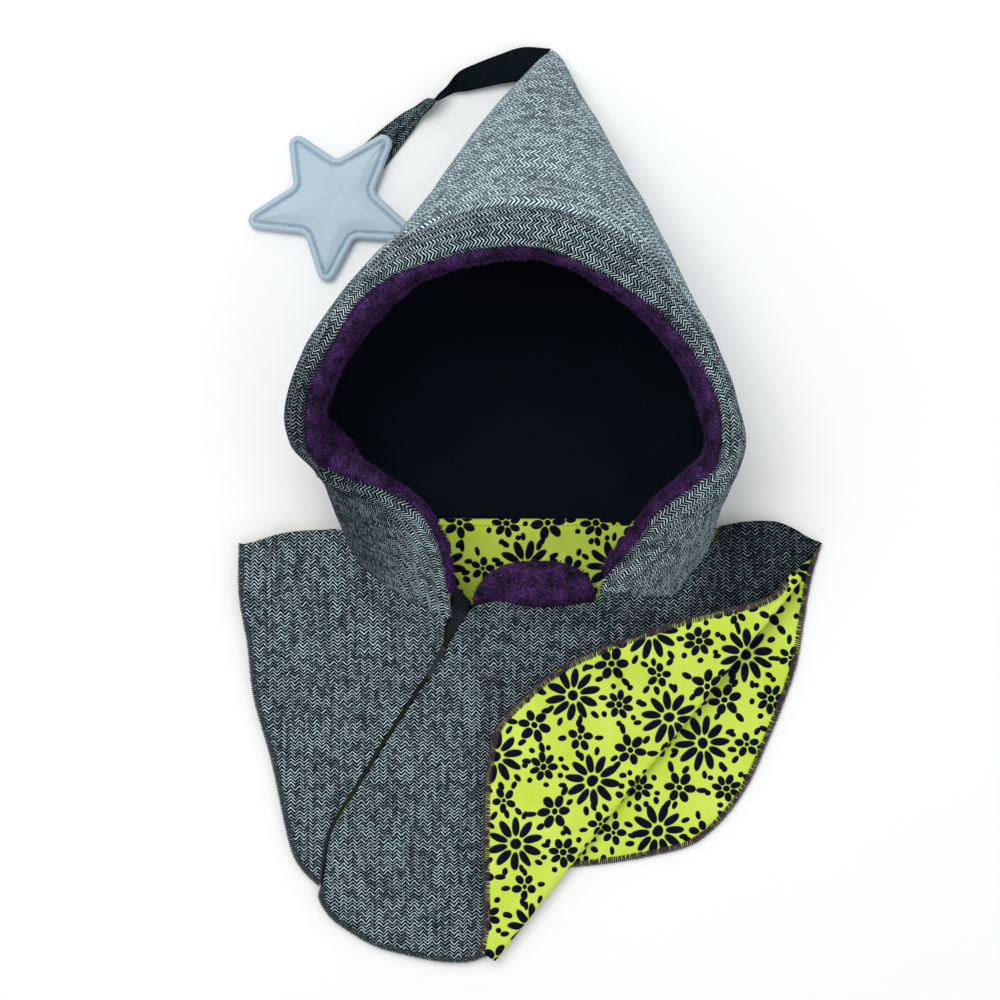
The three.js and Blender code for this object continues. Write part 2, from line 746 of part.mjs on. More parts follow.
const flapWidth = through(flapRows.map((at) => at.dot(foldAlong)), flapRows.map((at) => -at.dot(foldNormal)));
const TURN_STEPS = 4;
const TURN_LENGTH = Math.PI * FLAP_TURN;

// A point of the turned-over corner: along the fold (s), and the step across it, over the sheet's underside.
function flapPoint(s, step, steps, over) {
  const start = foldStart(s);
  const turn = Math.min(step / TURN_STEPS, 1) * Math.PI;
  if (step <= TURN_STEPS) {
    const at = start.clone().addScaledVector(foldNormal, (FLAP_TURN - over) * Math.sin(turn));
    return at.setZ(frontHeight(start.x, start.y) + FLAP_TURN - (FLAP_TURN - over) * Math.cos(turn));
  }
  const share = (step - TURN_STEPS) / (steps - TURN_STEPS);
  const at = start.addScaledVector(foldNormal, -flapWidth(s * foldLength) * share);
  return at.setZ(frontHeight(at.x, at.y) + 2 * FLAP_TURN - over);
}

function rightFront(low, high) {
  const across = 12;
  const flapSteps = TURN_STEPS + 5;
  const foldRows = RIGHT_ROWS - SHOULDER_ROWS;
  const at = (i, j) => i * (RIGHT_ROWS + 1) + j;
  const flapAt = (i, j) => {
    if (i === 0) return at(across, j + SHOULDER_ROWS);
    return at(across + 1, 0) + (i - 1) * (foldRows + 1) + j;
  };
  const points = (over) => {
    const list = [];
    for (let i = 0; i <= across; i++) {
      for (let j = 0; j <= RIGHT_ROWS; j++) {
        list.push(frontAt(patchPoint(rightPatch, i / across, j / RIGHT_ROWS), over));
      }
    }
    for (let i = 1; i <= flapSteps; i++) {
      for (let j = 0; j <= foldRows; j++) list.push(flapPoint(j / foldRows, i, flapSteps, over));
    }
    return list;
  };
  const faces = [...gridFaces(across, RIGHT_ROWS, at), ...gridFaces(flapSteps, foldRows, flapAt)];
  return sheetSolid(points(high), points(low), faces);
}

function leftFront(low, high) {
  const columns = 10;
  const rows = 12;
  const place = (i, j, over) => frontAt(patchPoint(leftPatch, i / columns, j / rows), over);
  return capeSheet(columns, rows, place, low, high);
}

// Back panel: flat on the table, its left half the mirror of its right half.
const mirrored = (rows) => rows.map(({ x, y }) => ({ x: -x, y }));
const BACK_NECK = 108; // half width of the back neck seam
const BACK_CLEARANCE = 2.5;
const backPatch = {
  top: (t) => vec(lerp(-BACK_NECK, BACK_NECK, t), -BACK_CLEARANCE, 0),
  right: joined(() => vec(BACK_NECK, -BACK_CLEARANCE, 0), outline(RIGHT_SHOULDER)),
  left: joined(() => vec(-BACK_NECK, -BACK_CLEARANCE, 0), outline(LEFT_SHOULDER.slice(0, -1))),
  bottom: joined(
    outline([LEFT_SHOULDER.at(-2), ...mirrored(BACK_HEM.slice(1))]),
    outline([...BACK_HEM].reverse()),
  ),
};

function backPanel(low, high) {
  const columns = 14;
  const rows = 6;
  const place = (i, j, over) => patchPoint(backPatch, i / columns, j / rows).setZ(over);
  return capeSheet(columns, rows, place, low, high);
}

// Chin guard: a half round of plush standing out behind the front neckline.
const CHIN = { x: 6, y: -57, half: 37, rise: 26, z: 26.3 };
function chinGuard() {
  const sections = [];
  const count = 14;
  for (let i = 0; i <= count; i++) {
    const across = lerp(-0.97, 0.97, i / count);
    const reach = CHIN.rise * Math.sqrt(1 - across * across);
    const root = under(CHIN.x + CHIN.half * across, CHIN.y + 1, CHIN.z);
    const tip = under(CHIN.x + CHIN.half * across, CHIN.y + reach, CHIN.z + 5);
    const half = PLUSH / 2;
    const middle = root.clone().lerp(tip, 0.6).add(vec(0, 0, half));
    sections.push([
      root.clone().add(vec(0, 0, -half)),
      tip.clone().add(vec(0, -2, -half * 0.8)),
      tip.clone(),
      tip.clone().add(vec(0, -2, half * 0.8)),
      middle,
      root.clone().add(vec(0, 0, half * 0.6)),
    ]);
  }
  return loftSolid(sections);
}

// Zip: a closed strip between the two front panels, its slider and the hinged pull.
const TAPE_SLACK = 0.4;
function zipTape() {
  const sections = [];
  const count = 26;
  for (let i = 0; i <= count; i++) {
    const t = lerp(0.004, 0.996, i / count);
    const middle = zipMiddle(t);
    const ahead = zipMiddle(Math.min(1, t + 0.01)).sub(zipMiddle(t - 0.004)).setZ(0).normalize();
    const side = vec(-ahead.y, ahead.x, 0).multiplyScalar(zipHalf(t) - TAPE_SLACK);
    const z = frontHeight(middle.x, middle.y);
    const corner = (sign, over) => middle.clone().addScaledVector(side, sign).setZ(z + over);
    sections.push([corner(-1, 0.2), corner(1, 0.2), corner(1, 1.9), corner(-1, 1.9)]);
  }
  return loftSolid(sections);
}

// The part of a solid that stays clear of others, without crumbs.
function clearOf(geometry, ...others) {
  let cut = manifoldOf(facingOut(geometry));
  for (const other of others) cut = cut.subtract(manifoldOf(facingOut(other)));
  const pieces = cut.decompose().sort((a, b) => b.volume() - a.volume());
  return geometryOf(pieces[0]);
}

// Zip slider and pull, drawn along +X (down the zip) with the hinge through their origin and turned
// into place.
const SLIDER = {
  length: 9,
  width: 4.6,
  height: 2.2,
  wall: 1,
  archLength: 5,
  archWidth: 1.2,
  archHeight: 2.7,
};
const HINGE_HEIGHT = SLIDER.height + 0.9; // over the slider's underside
const HINGE_BAR = 1; // the pull's bar inside the slider's arch

const plane = (pairs) => pairs.map(([x, y]) => new THREE.Vector2(x, y));

// The outline's other half is the first half mirrored across X, taken backwards.
const bothSides = (pairs) => plane([...pairs, ...pairs.map(([x, y]) => [x, -y]).reverse()]);

function extruded(points, width) {
  const geometry = new THREE.ExtrudeGeometry(new THREE.Shape(points), { depth: width, bevelEnabled: false });
  return geometry.translate(0, 0, -width / 2);
}

function manifoldOf(geometry) {
  const bare = geometry.clone();
  bare.deleteAttribute("normal");
  bare.deleteAttribute("uv");
  const merged = mergeVertices(bare, 1e-4);
  const triVerts = new Uint32Array(merged.index.array);
  const vertProperties = merged.attributes.position.array;
  return new wasm.Manifold(new wasm.Mesh({ numProp: 3, vertProperties, triVerts }));
}

function geometryOf(solid) {
  const mesh = solid.getMesh();
  const geometry = new THREE.BufferGeometry();
  geometry.setAttribute("position", new THREE.BufferAttribute(new Float32Array(mesh.vertProperties), 3));
  geometry.setIndex(Array.from(mesh.triVerts));
  return geometry;
}

// The slider's body, tapered towards the pull's end, with an arch over it that holds the pull.
function zipSlider() {
  const half = SLIDER.length / 2;
  const wide = SLIDER.width / 2;
  const body = extruded(bothSides([[-half, -wide], [0, -wide], [half, -wide * 0.7]]), SLIDER.height);
  body.translate(0, 0, SLIDER.height / 2 - HINGE_HEIGHT);
  const reach = SLIDER.archLength / 2;
  const inner = reach - SLIDER.wall;
  const low = -HINGE_HEIGHT + SLIDER.height - 0.2;
  const top = low + SLIDER.archHeight + 0.2;
  const bevel = 0.5;
  const legIn = [[-inner, low], [-inner, top - SLIDER.wall]];
  const legOut = [[-reach + bevel, top], [-reach, top - bevel], [-reach, low]];
  const across = (pairs) => pairs.map(([x, y]) => [-x, y]).reverse();
  const around = [...legIn, ...across(legIn), ...across(legOut), ...legOut];
  const arch = extruded(plane(around), SLIDER.archWidth);
  arch.rotateX(Math.PI / 2);
  return geometryOf(manifoldOf(body).add(manifoldOf(arch)));
}

// The pull: a slim drop with an eye whose bar passes through the arch.
const PULL_EYE = { end: 3.5, half: 0.9 };
const PULL_WAIST = [4.2, 9, 12]; // where the sides leave the eye, run slimmest and have widened again
function zipPull() {
  const half = PULL_WIDTH / 2;
  const bar = HINGE_BAR / 2;
  const [leave, slim, widened] = PULL_WAIST;
  const drop = new THREE.Shape();
  drop.moveTo(-bar, -half * 0.85);
  drop.lineTo(leave, -half * 0.7);
  drop.bezierCurveTo(slim, -half * 0.6, widened, -half, PULL_LENGTH - half, -half);
  drop.absarc(PULL_LENGTH - half, 0, half, -Math.PI / 2, Math.PI / 2, false);
  drop.bezierCurveTo(widened, half, slim, half * 0.6, leave, half * 0.7);
  drop.lineTo(-bar, half * 0.85);
  drop.closePath();
  const eye = bothSides([[bar, -PULL_EYE.half], [PULL_EYE.end, -PULL_EYE.half]]);
  drop.holes.push(new THREE.Path(eye));
  const look = { depth: HINGE_BAR, bevelEnabled: false, curveSegments: 6 };
  return new THREE.ExtrudeGeometry(drop, look).translate(0, 0, -bar);
}

// Where the slider sits on the zip, its length down the zip and leaning with the cloth.
const SLIDER_AT = 0.145;
const SLIDER_LIFT = 2.3;
function onZip(mesh) {
  const place = (t, aside) => {
    const at = zipMiddle(t);
    at.x += aside;
    return frontAt(at, CLOTH_TOP);
  };
  const down = place(SLIDER_AT + 0.1, 0).sub(place(SLIDER_AT, 0)).normalize();
  const side = place(SLIDER_AT, SLIDER.width).sub(place(SLIDER_AT, -SLIDER.width));
  side.addScaledVector(down, -side.dot(down)).normalize();
  const up = down.clone().cross(side);
  mesh.quaternion.setFromRotationMatrix(new THREE.Matrix4().makeBasis(down, side, up));
  mesh.position.copy(place(SLIDER_AT, 0)).addScaledVector(up, HINGE_HEIGHT + SLIDER_LIFT);
  return mesh;
}

// Strap: a flat fabric strap from the hood's point to under the star, with a half twist on the way.
// Its two long edges, seen from above, with their heights.
const STRAP = [
  { a: [14.6, 311, 9], b: [-3.6, 290, 9] },
  { a: [-4, 312, 7], b: [-18, 288, 7] },
  { a: [-20, 307, 6], b: [-32, 285, 6] },
  { a: [-33, 302, 6], b: [-41, 283, 5] },
  { a: [-46, 296, 8], b: [-49, 282, 4] },
  { a: [-54, 286, 13], b: [-56, 279, 2] },
  { a: [-60, 280, 17], b: [-61, 277, 1] },
  { a: [-65, 272, 13], b: [-67, 278, 1] },
  { a: [-71, 266, 7], b: [-75, 273, 3] },
  { a: [-76, 258, 3], b: [-84, 268, 2] },
  { a: [-85, 246, 1.7], b: [-96, 259, 1.7] },
  { a: [-95, 233, 1.55], b: [-110, 247, 1.55] },
  { a: [-101, 227, 1.5], b: [-117, 240, 1.5] },
];

function strap() {
  const edgeOf = (key) => new THREE.CatmullRomCurve3(STRAP.map((row) => under(...row[key])));
  const near = edgeOf("a");
  const far = edgeOf("b");
  const sections = [];
  const count = 40;
  for (let i = 0; i <= count; i++) {
    const t = i / count;
    const across = near.getPoint(t).sub(far.getPoint(t)).normalize();
    const thick = near.getTangent(t).add(far.getTangent(t)).cross(across).setLength(STRAP_THICKNESS / 2);
    sections.push([
      near.getPoint(t).add(thick),
      near.getPoint(t).sub(thick),
      far.getPoint(t).sub(thick),
      far.getPoint(t).add(thick),
    ]);
  }
  return loftSolid(sections);
}

// Star: padded, five rounded arms, leaning on the strap's end.
const STAR = { x: -129, y: 209, turn: 49, lift: 2.05, lean: 0.026, leanTurn: 30 };
const ARM_ROUND = 16; // how far the rounding reaches from an arm's corner
const NOTCH_ROUND = 2.4;
const STAR_BEVEL = 2;
function starOutline() {
  const shape = new THREE.Shape();
  const corners = [];
  for (let k = 0; k < 10; k++) {
    const angle = ((STAR.turn + 36 * k) * Math.PI) / 180;
    const far = k % 2 === 0 ? STAR_RADIUS : STAR_WAIST;
    corners.push(new THREE.Vector2(far * Math.cos(angle), far * Math.sin(angle)));
  }
  corners.forEach((corner, k) => {
    const round = k % 2 === 0 ? ARM_ROUND : NOTCH_ROUND;
    const before = corners[(k + 9) % 10].clone().sub(corner).setLength(round).add(corner);
    const after = corners[(k + 1) % 10].clone().sub(corner).setLength(round).add(corner);
    if (k === 0) shape.moveTo(before.x, before.y);
    else shape.lineTo(before.x, before.y);
    shape.quadraticCurveTo(corner.x, corner.y, after.x, after.y);
  });
  shape.closePath();
  return shape;
}

function star() {
  const look = {
    depth: STAR_THICKNESS - 2 * STAR_BEVEL,
    bevelThickness: STAR_BEVEL,
    bevelSize: STAR_BEVEL,
    bevelOffset: -STAR_BEVEL,
    bevelSegments: 2,
    curveSegments: 3,
  };
  return new THREE.ExtrudeGeometry(starOutline(), look).translate(0, 0, STAR_BEVEL);
}

const root = new THREE.Group();
const add = (name, geometry, color, roughness = 0.9, metalness = 0) => {
  const mesh = meshOf(name, facingOut(geometry), { color, roughness, metalness });
  root.add(mesh);
  return mesh;
};
add("hood_shell", hoodShell(), "#7d9096");
add("rim_plush", rimPlush(), "#342547");
add("hood_lining", clearOf(hoodLining(), hoodShell(TWEED + GAP), rimPlush(GAP)), "#060c15");
add("cape_back", backPanel(0, CAPE_TWEED), "#44535a");
add("cape_back_lining", backPanel(BACK_LINING, BACK_LINING + CAPE_LINING), "#bfd93a");
add("cape_front_left", leftFront(FRONT_TWEED, CLOTH_TOP), "#44535a");
add("cape_front_left_lining", leftFront(0, CAPE_LINING), "#bfd93a");
add("cape_front_right", rightFront(FRONT_TWEED, CLOTH_TOP), "#44535a");
add("cape_front_right_lining", rightFront(0, CAPE_LINING), "#bfd93a");
add("chin_guard", chinGuard(), "#342547");
add("zip_tape", zipTape(), "#0d1a20", 0.6);
onZip(add("zip_slider", zipSlider(), "#20262b", 0.4, 0.8));
onZip(add("zip_pull", zipPull(), "#2f3d45", 0.4, 0.6));
add("strap", strap(), "#28383f");
const starMesh = add("star", star(), "#b0c2ce", 0.45, 0.1);
starMesh.position.copy(under(STAR.x, STAR.y, 0)).setZ(STAR.lift);
const leanTurn = (STAR.leanTurn * Math.PI) / 180;
starMesh.quaternion.setFromAxisAngle(vec(Math.sin(leanTurn), -Math.cos(leanTurn), 0), STAR.lean);
root.position.y = ORIGIN_BELOW_NECK;
export default root;
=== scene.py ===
"""Pointed child's hood with a short cape, dressed for close views: tweed, plush, printed lining, zip and star."""
import math

import bmesh
import bpy
import numpy as np
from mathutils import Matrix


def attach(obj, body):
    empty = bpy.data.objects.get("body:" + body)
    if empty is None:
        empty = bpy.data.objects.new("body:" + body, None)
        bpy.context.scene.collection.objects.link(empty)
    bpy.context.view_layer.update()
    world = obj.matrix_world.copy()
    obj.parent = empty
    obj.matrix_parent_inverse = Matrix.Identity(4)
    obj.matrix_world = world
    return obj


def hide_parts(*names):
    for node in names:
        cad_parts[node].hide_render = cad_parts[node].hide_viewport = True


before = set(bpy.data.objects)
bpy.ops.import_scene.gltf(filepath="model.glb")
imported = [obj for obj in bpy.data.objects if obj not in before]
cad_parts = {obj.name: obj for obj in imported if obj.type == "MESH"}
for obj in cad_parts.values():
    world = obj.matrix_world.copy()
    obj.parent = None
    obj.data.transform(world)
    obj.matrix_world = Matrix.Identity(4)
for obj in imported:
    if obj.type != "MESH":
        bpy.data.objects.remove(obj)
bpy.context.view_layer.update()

bl_info = {
    "name": "Pointed hood with cape",
    "version": (1, 0, 0),
    "blender": (4, 5, 0),
    "location": "View3D > Sidebar > Hood",
    "description": "Builds the cloth, pile, print, stitching and zip of a child's pointed hood on its frame",
    "category": "Add Mesh",
}

# Sizes in millimetres. The tables count y from the back neck seam; the origin lies below that seam.
ORIGIN_BELOW_NECK = 10
VIEW_HEIGHT = 1400
VIEW_X = -19
VIEW_Y = 13
TIP_Y = 309
TIP_Z = 6
TIP_ROUNDING = 10
UPPER_ROUND = 2.2
LOWER_ROUND = 2.9
TWEED = 2.0
LINING = 1.2
CAPE_TWEED = 1.5
CAPE_LINING = 1.0
PLUSH = 5.0
GAP = 0.3
LINING_GAP = 2.2
RIM_ROLL = 9.0
FRONT_REST = 3.1
BACK_LINING = CAPE_TWEED + GAP
FRONT_TWEED = CAPE_LINING + GAP
CLOTH_TOP = FRONT_TWEED + CAPE_TWEED
FLAP_TURN = 5.6
BAND = 19.0  # width of the rim band beside the roll

BODY_KEYS = ("y", "left", "right", "height", "wide")
BODY = np.array([
    (309, 11, 20, 13, 6),
    (288, -9, 30, 44, 21),
    (260, -33, 47, 82, 38),
    (224, -59, 66, 126, 58),
    (195, -81, 83, 158, 74),
    (172, -104, 95, 168, 84),
    (145, -127, 108, 167, 95),
    (112, -149, 126, 162, 104),
    (69, -161, 140, 152, 104),
    (50, -157, 143, 145, 100),
    (30, -140, 137, 130, 88),
    (0, -126, 125, 104, 60),
    (-22, -118, 117, 80, 44),
    (-43, -108, 106, 60, 32),
    (-69, -103, 102, 44, 24),
    (-90, -100, 100, 40, 20),
], float)
RIM = [
    (-55, -65), (-58, -46), (-62, -27), (-69, -12), (-80, 1), (-97, 10), (-125, 20), (-146, 33),
    (-157, 54), (-158, 72), (-153, 93), (-139, 121), (-120, 149), (-98, 168), (-68, 181), (-35, 190),
    (-8, 192), (14, 190), (37, 180), (66, 165), (95, 143), (115, 119), (129, 94), (136, 74),
    (138, 52), (133, 32), (119, 18), (106, 8), (89, -4), (79, -16), (67, -27), (56, -38), (50, -48),
]
# y and the angle round the section in degrees
NECK_LEFT = [(-50, 138), (-32, 160), (-10, 176), (0, 205), (0, 240), (0, 270)]
NECK_RIGHT = [(-48, 48), (-46, 25), (-20, 4), (0, -25), (0, -60), (0, -90)]
FRONT_NECKLINE = [(-37, -56), (-20, -52), (-1, -56), (25, -55), (42, -52)]
NECKLINE_HEIGHT = 40
LEFT_SHOULDER = [(-126, -6), (-150, -7), (-164, -9), (-184, -15), (-190, -16)]
RIGHT_SHOULDER = [(125, -4), (141, -1), (162, -1), (173, -5), (183, -11), (192, -15)]
LEFT_HEM = [
    (-190, -16), (-189, -52), (-184, -81), (-180, -115), (-168, -158), (-154, -218), (-148, -229),
    (-137, -240),
]
ZIP_LINE = [
    (-46, -59, 6.5), (-51, -70, 4), (-54, -79, 1.6), (-64, -98, 1.2), (-78, -119, 1.2), (-101, -155, 1.2),
    (-113, -175, 1.2), (-131, -205, 1.2), (-137, -240, 1.2),
]
RIGHT_HEM = [(-138, -247), (-132, -259), (-118, -270), (-100, -280), (-82, -285), (-56, -290), (-40, -290)]
FOLD_BOTTOM = (-22, -289)
FOLD_TOP = (178, -38)
FLAP_EDGE = [
    (-32, -282), (-29, -262), (-29, -236), (-29, -200), (-27, -162), (-19, -132), (1, -111), (20, -96),
    (57, -79), (99, -65), (135, -56), (153, -51), (161, -46), (171, -33),
]
HEM_END = [(190, -17), (184, -27)]
BACK_HEM = [
    (192, -15), (187, -31), (183, -50), (179, -75), (173, -105), (162, -132), (143, -175), (113, -210),
    (73, -222), (28, -228), (0, -230),
]
STRAP = [
    ((14.6, 311, 9), (-3.6, 290, 9)),
    ((-4, 312, 7), (-18, 288, 7)),
    ((-20, 307, 6), (-32, 285, 6)),
    ((-33, 302, 6), (-41, 283, 5)),
    ((-46, 296, 8), (-49, 282, 4)),
    ((-54, 286, 13), (-56, 279, 2)),
    ((-60, 280, 17), (-61, 277, 1)),
    ((-65, 272, 13), (-67, 278, 1)),
    ((-71, 266, 7), (-75, 273, 3)),
    ((-76, 258, 3), (-84, 268, 2)),
    ((-85, 246, 1.7), (-96, 259, 1.7)),
    ((-95, 233, 1.55), (-110, 247, 1.55)),
    ((-101, 227, 1.5), (-117, 240, 1.5)),
]
STRAP_THICKNESS = 1.6
STAR = {"x": -129, "y": 209, "turn": 49, "lift": 2.05, "lean": 0.026, "lean_turn": 30}
STAR_WAIST = 28
STAR_ARMS = (56.5, 50, 57, 52, 57)  # reach of each arm from the middle
STAR_TIP = 6.2  # radius of an arm's end
STAR_THICKNESS = 7.0
STAR_GROOVE = 4.6  # how far the stitched groove lies from the star's edge
STAR_INSETS = (
    0, 0.25, 0.6, 1.0, 1.5, 2.1, 2.8, 3.4, 3.9, 4.3, 4.6, 4.9, 5.2, 5.5, 5.9, 6.4, 7.2, 8.4, 10, 12, 14.5, 17.5, 20.5,
)
HOOD_MIDDLE = (-5.0, 60.0, 60.0)  # a place inside the hood, which its cloth faces away from
CAMERA_PLACE = (-0.01914, 0.0232, 1.4)
CAMERA_LENS = 76.36


# Numbers and curves. Points are rows of an array.
def smooth(t):
    t = np.clip(t, 0, 1)
    return t * t * (3 - 2 * t)


def lerp(a, b, t):
    return a + (b - a) * t


def signed_power(v, e):
    return np.sign(v) * np.abs(v) ** e


def unit(v):
    return v / np.maximum(np.linalg.norm(v, axis=-1, keepdims=True), 1e-9)


def points(x, y, z):
    """Rows of points from their coordinates."""
    x, y, z = np.broadcast_arrays(np.asarray(x, float), y, z)
    return np.stack([x, y, z], -1)


def under(x, y, z):
    """Draws a point seen from above in towards the viewpoint's axis, for its height."""
    k = 1 - np.asarray(z, float) / VIEW_HEIGHT
    return points(VIEW_X + (np.asarray(x, float) - VIEW_X) * k, VIEW_Y + (np.asarray(y, float) - VIEW_Y) * k, z)


def through(xs, ys):
    """A smooth curve through rows of values that never overshoots."""
    xs, ys = np.asarray(xs, float), np.asarray(ys, float)
    step = np.diff(xs)
    rise = np.diff(ys) / step
    slope = np.zeros(len(xs))
    slope[0], slope[-1] = rise[0], rise[-1]
    product = rise[:-1] * rise[1:]
    total = rise[:-1] + rise[1:]
    slope[1:-1] = np.where(product > 0, 2 * product / np.where(total == 0, 1, total), 0)

    def at(x):
        x = np.asarray(x, float)
        i = np.clip(np.searchsorted(xs, x) - 1, 0, len(xs) - 2)
        t = np.clip((x - xs[i]) / step[i], 0, 1)
        low = ys[i] * (1 + 2 * t) * (1 - t) ** 2 + slope[i] * step[i] * t * (1 - t) ** 2
        return low + ys[i + 1] * t * t * (3 - 2 * t) + slope[i + 1] * step[i] * t * t * (t - 1)

    return at


def arc(line):
    """Length along rows of points, from the first."""
    return np.concatenate([[0], np.cumsum(np.linalg.norm(np.diff(line, axis=0), axis=1))])


def plan_curve(rows, per_span=40):
    """A curve through points, as a function of the share of its length."""
    p = np.array(rows, float)
    if p.shape[1] == 2:
        p = np.column_stack([p, np.zeros(len(p))])
    ends = np.vstack([2 * p[0] - p[1], p, 2 * p[-1] - p[-2]])
    u = np.linspace(0, 1, per_span, endpoint=False)[:, None]
    spans = []
    for i in range(len(p) - 1):
        a, b, c, d = ends[i : i + 4]
        ab, bc, cd = (max(np.linalg.norm(w), 1e-6) ** 0.5 for w in (b - a, c - b, d - c))
        start = ((b - a) / ab - (c - a) / (ab + bc) + (c - b) / bc) * bc
        end = ((c - b) / bc - (d - b) / (bc + cd) + (d - c) / cd) * bc
        bend = -3 * b + 3 * c - 2 * start - end
        spans.append(b + start * u + bend * u**2 + (2 * b - 2 * c + start + end) * u**3)
    fine = np.vstack([*spans, p[-1:]])
    far = arc(fine)
    share = far / far[-1]

    def at(t):
        t = np.clip(np.asarray(t, float), 0, 1)
        return np.stack([np.interp(t, share, fine[:, k]) for k in range(3)], -1)

    at.length = far[-1]
    return at


def joined(*lines):
    """One curve along several, which may be functions, tables or single points."""
    rows = []
    for line in lines:
        if callable(line):
            rows.extend(line(np.linspace(0, 1, 13)))
        elif len(np.shape(line)) == 1:
            rows.append(np.array([*line, 0][:3], float))
        else:
            rows.extend(plan_curve(line)(np.linspace(0, 1, 13)))
    kept = rows[:1]
    for i in range(1, len(rows)):
        if np.linalg.norm(rows[i] - rows[i - 1]) > 2 or len(np.shape(lines[-1])) == 1 and i == len(rows) - 1:
            kept.append(rows[i])
    return plan_curve(kept)


# The hood's body: sections from the point to the neck, unrolled like a cone.
DOWN = TIP_Y - under(0, BODY[:, 0], BODY[:, 4])[:, 1]
SECTION = {key: through(DOWN, BODY[:, k]) for k, key in enumerate(BODY_KEYS) if k}


def section_at(y):
    """The body's section: how far it is from the point, its middle, half width and the height it is widest at."""
    far = TIP_Y - y
    wide = SECTION["wide"](far)
    left, right = (under(SECTION[side](far), 0, wide)[..., 0] for side in ("left", "right"))
    return far, (left + right) / 2, (right - left) / 2, wide


def body_point(y, angle):
    """Point of the hood's body at a y and an angle round its section."""
    far, middle, half, wide = section_at(y)
    rounding = np.sqrt(1 - (1 - np.clip(far / TIP_ROUNDING, 0, 1)) ** 2)
    upper = np.sin(angle) > 0
    depth = np.where(upper, SECTION["height"](far) - wide, wide)
    power = np.where(upper, 2 / UPPER_ROUND, 2 / LOWER_ROUND)
    z = wide + depth * signed_power(np.sin(angle), power)
    return points(middle + half * rounding * signed_power(np.cos(angle), power), y, lerp(TIP_Z, z, rounding))


def seen_on_body(row):
    """Where a point seen from above lies on the body: its y and its angle round the section."""
    z = 0.0
    for _ in range(12):
        real = under(row[0], row[1], z)
        _, middle, half, _ = section_at(real[1])
        angle = math.acos(signed_power(np.clip((real[0] - middle) / half, -1, 1), UPPER_ROUND / 2))
        z = body_point(real[1], angle)[2]
    return real[1], math.degrees(angle)


CONE_SPREAD = 93.5 / 180
RAY_YS = lerp(TIP_Y, -100, (np.arange(91) / 90) ** 1.5)
RAY_ANGLES = np.arange(-150, 331)
RAYS = np.array([arc(body_point(RAY_YS, math.radians(angle))) for angle in RAY_ANGLES])


def ray_of(angle):
    """Lengths along the body from its point, at an angle round the section."""
    place = np.clip(np.asarray(angle, float) - RAY_ANGLES[0], 0, len(RAY_ANGLES) - 1.001)
    k = place.astype(int)
    f = (place - k)[..., None]
    return RAYS[k] * (1 - f) + RAYS[k + 1] * f


def unroll(row):
    """Place of a y and an angle on the unrolled body."""
    far = np.interp(-row[0], -RAY_YS, ray_of(row[1]))
    turn = math.radians((row[1] - 90) * CONE_SPREAD)
    return (far * math.sin(turn), -far * math.cos(turn), 0.0)


def roll_up(at):
    """Point of the body for a place on the unrolled one."""
    far = np.hypot(at[..., 0], at[..., 1])
    turn = np.where(far < 1e-6, 0, np.arctan2(at[..., 0], -at[..., 1]))
    angle = 90 + np.degrees(turn) / CONE_SPREAD
    ray = ray_of(angle)
    i = np.clip((ray <= far[..., None]).sum(-1) - 1, 0, len(RAY_YS) - 2)
    low = np.take_along_axis(ray, i[..., None], -1)[..., 0]
    high = np.take_along_axis(ray, i[..., None] + 1, -1)[..., 0]
    y = lerp(RAY_YS[i], RAY_YS[i + 1], (far - low) / np.maximum(high - low, 1e-9))
    return body_point(y, np.radians(angle))


SEATS = [seen_on_body(row) for row in RIM]
MIDDLE = int(np.argmin([abs(seat[1] - 90) for seat in SEATS]))
SEATS[MIDDLE] = (SEATS[MIDDLE][0], 90.0)
RIM_LEFT = plan_curve([unroll(seat) for seat in SEATS[: MIDDLE + 1][::-1]])
RIM_RIGHT = plan_curve([unroll(seat) for seat in SEATS[MIDDLE:]])
NECK_L = plan_curve([unroll(row) for row in [SEATS[0], *NECK_LEFT]])
NECK_R = plan_curve([unroll(row) for row in [SEATS[-1], *NECK_RIGHT]])


def cloth_plan(t, s):
    """Place in the unrolled hood: t along the rim from the left corner to the right, s from the rim back."""
    t, s = np.broadcast_arrays(np.asarray(t, float), np.asarray(s, float))
    left = (t < 0.5)[..., None]

    def on(left_line, right_line, at):
        return np.where(left, left_line(at), right_line(at))

    rim, neck, back = on(RIM_LEFT, RIM_RIGHT, np.abs(t - 0.5) * 2), on(NECK_L, NECK_R, s), on(NECK_L, NECK_R, 1)
    crest, corner = on(RIM_LEFT, RIM_RIGHT, 0), on(RIM_LEFT, RIM_RIGHT, 1)
    side, s = (np.abs(t - 0.5) * 2)[..., None], s[..., None]
    at = rim * (1 - s) + back * s * side + crest * (1 - s) * (1 - side) + neck * side
    return at - crest * (1 - s) * (1 - side) - corner * (1 - s) * side - back * s * side


def hood_point(t, s):
    return roll_up(cloth_plan(t, s))


def hood_normal(t, s):
    """Outward direction of the hood's cloth; along the back seam it is a fixed one."""
    t, s = np.broadcast_arrays(np.asarray(t, float), np.asarray(s, float))
    step = 0.004
    lo = np.where(t <= 0.5, 0, 0.5 + 1e-6)
    hi = np.where(t <= 0.5, 0.5 - 1e-6, 1)
    inner = np.minimum(s, 0.999)
    along = hood_point(np.clip(t + step, lo, hi), inner) - hood_point(np.clip(t - step, lo, hi), inner)
    across = hood_point(t, np.minimum(s + step, 0.999)) - hood_point(t, np.maximum(s - step, 0))
    normal = unit(np.cross(along, across))
    outward = hood_point(t, s) - HOOD_MIDDLE
    normal = np.where((normal * outward).sum(-1, keepdims=True) < 0, -normal, normal)
    tip = smooth(1 - np.abs(t - 0.5) * 24)
    seam = unit(points(0, tip, tip - 1))
    return np.where((s > 0.999)[..., None], seam, normal)


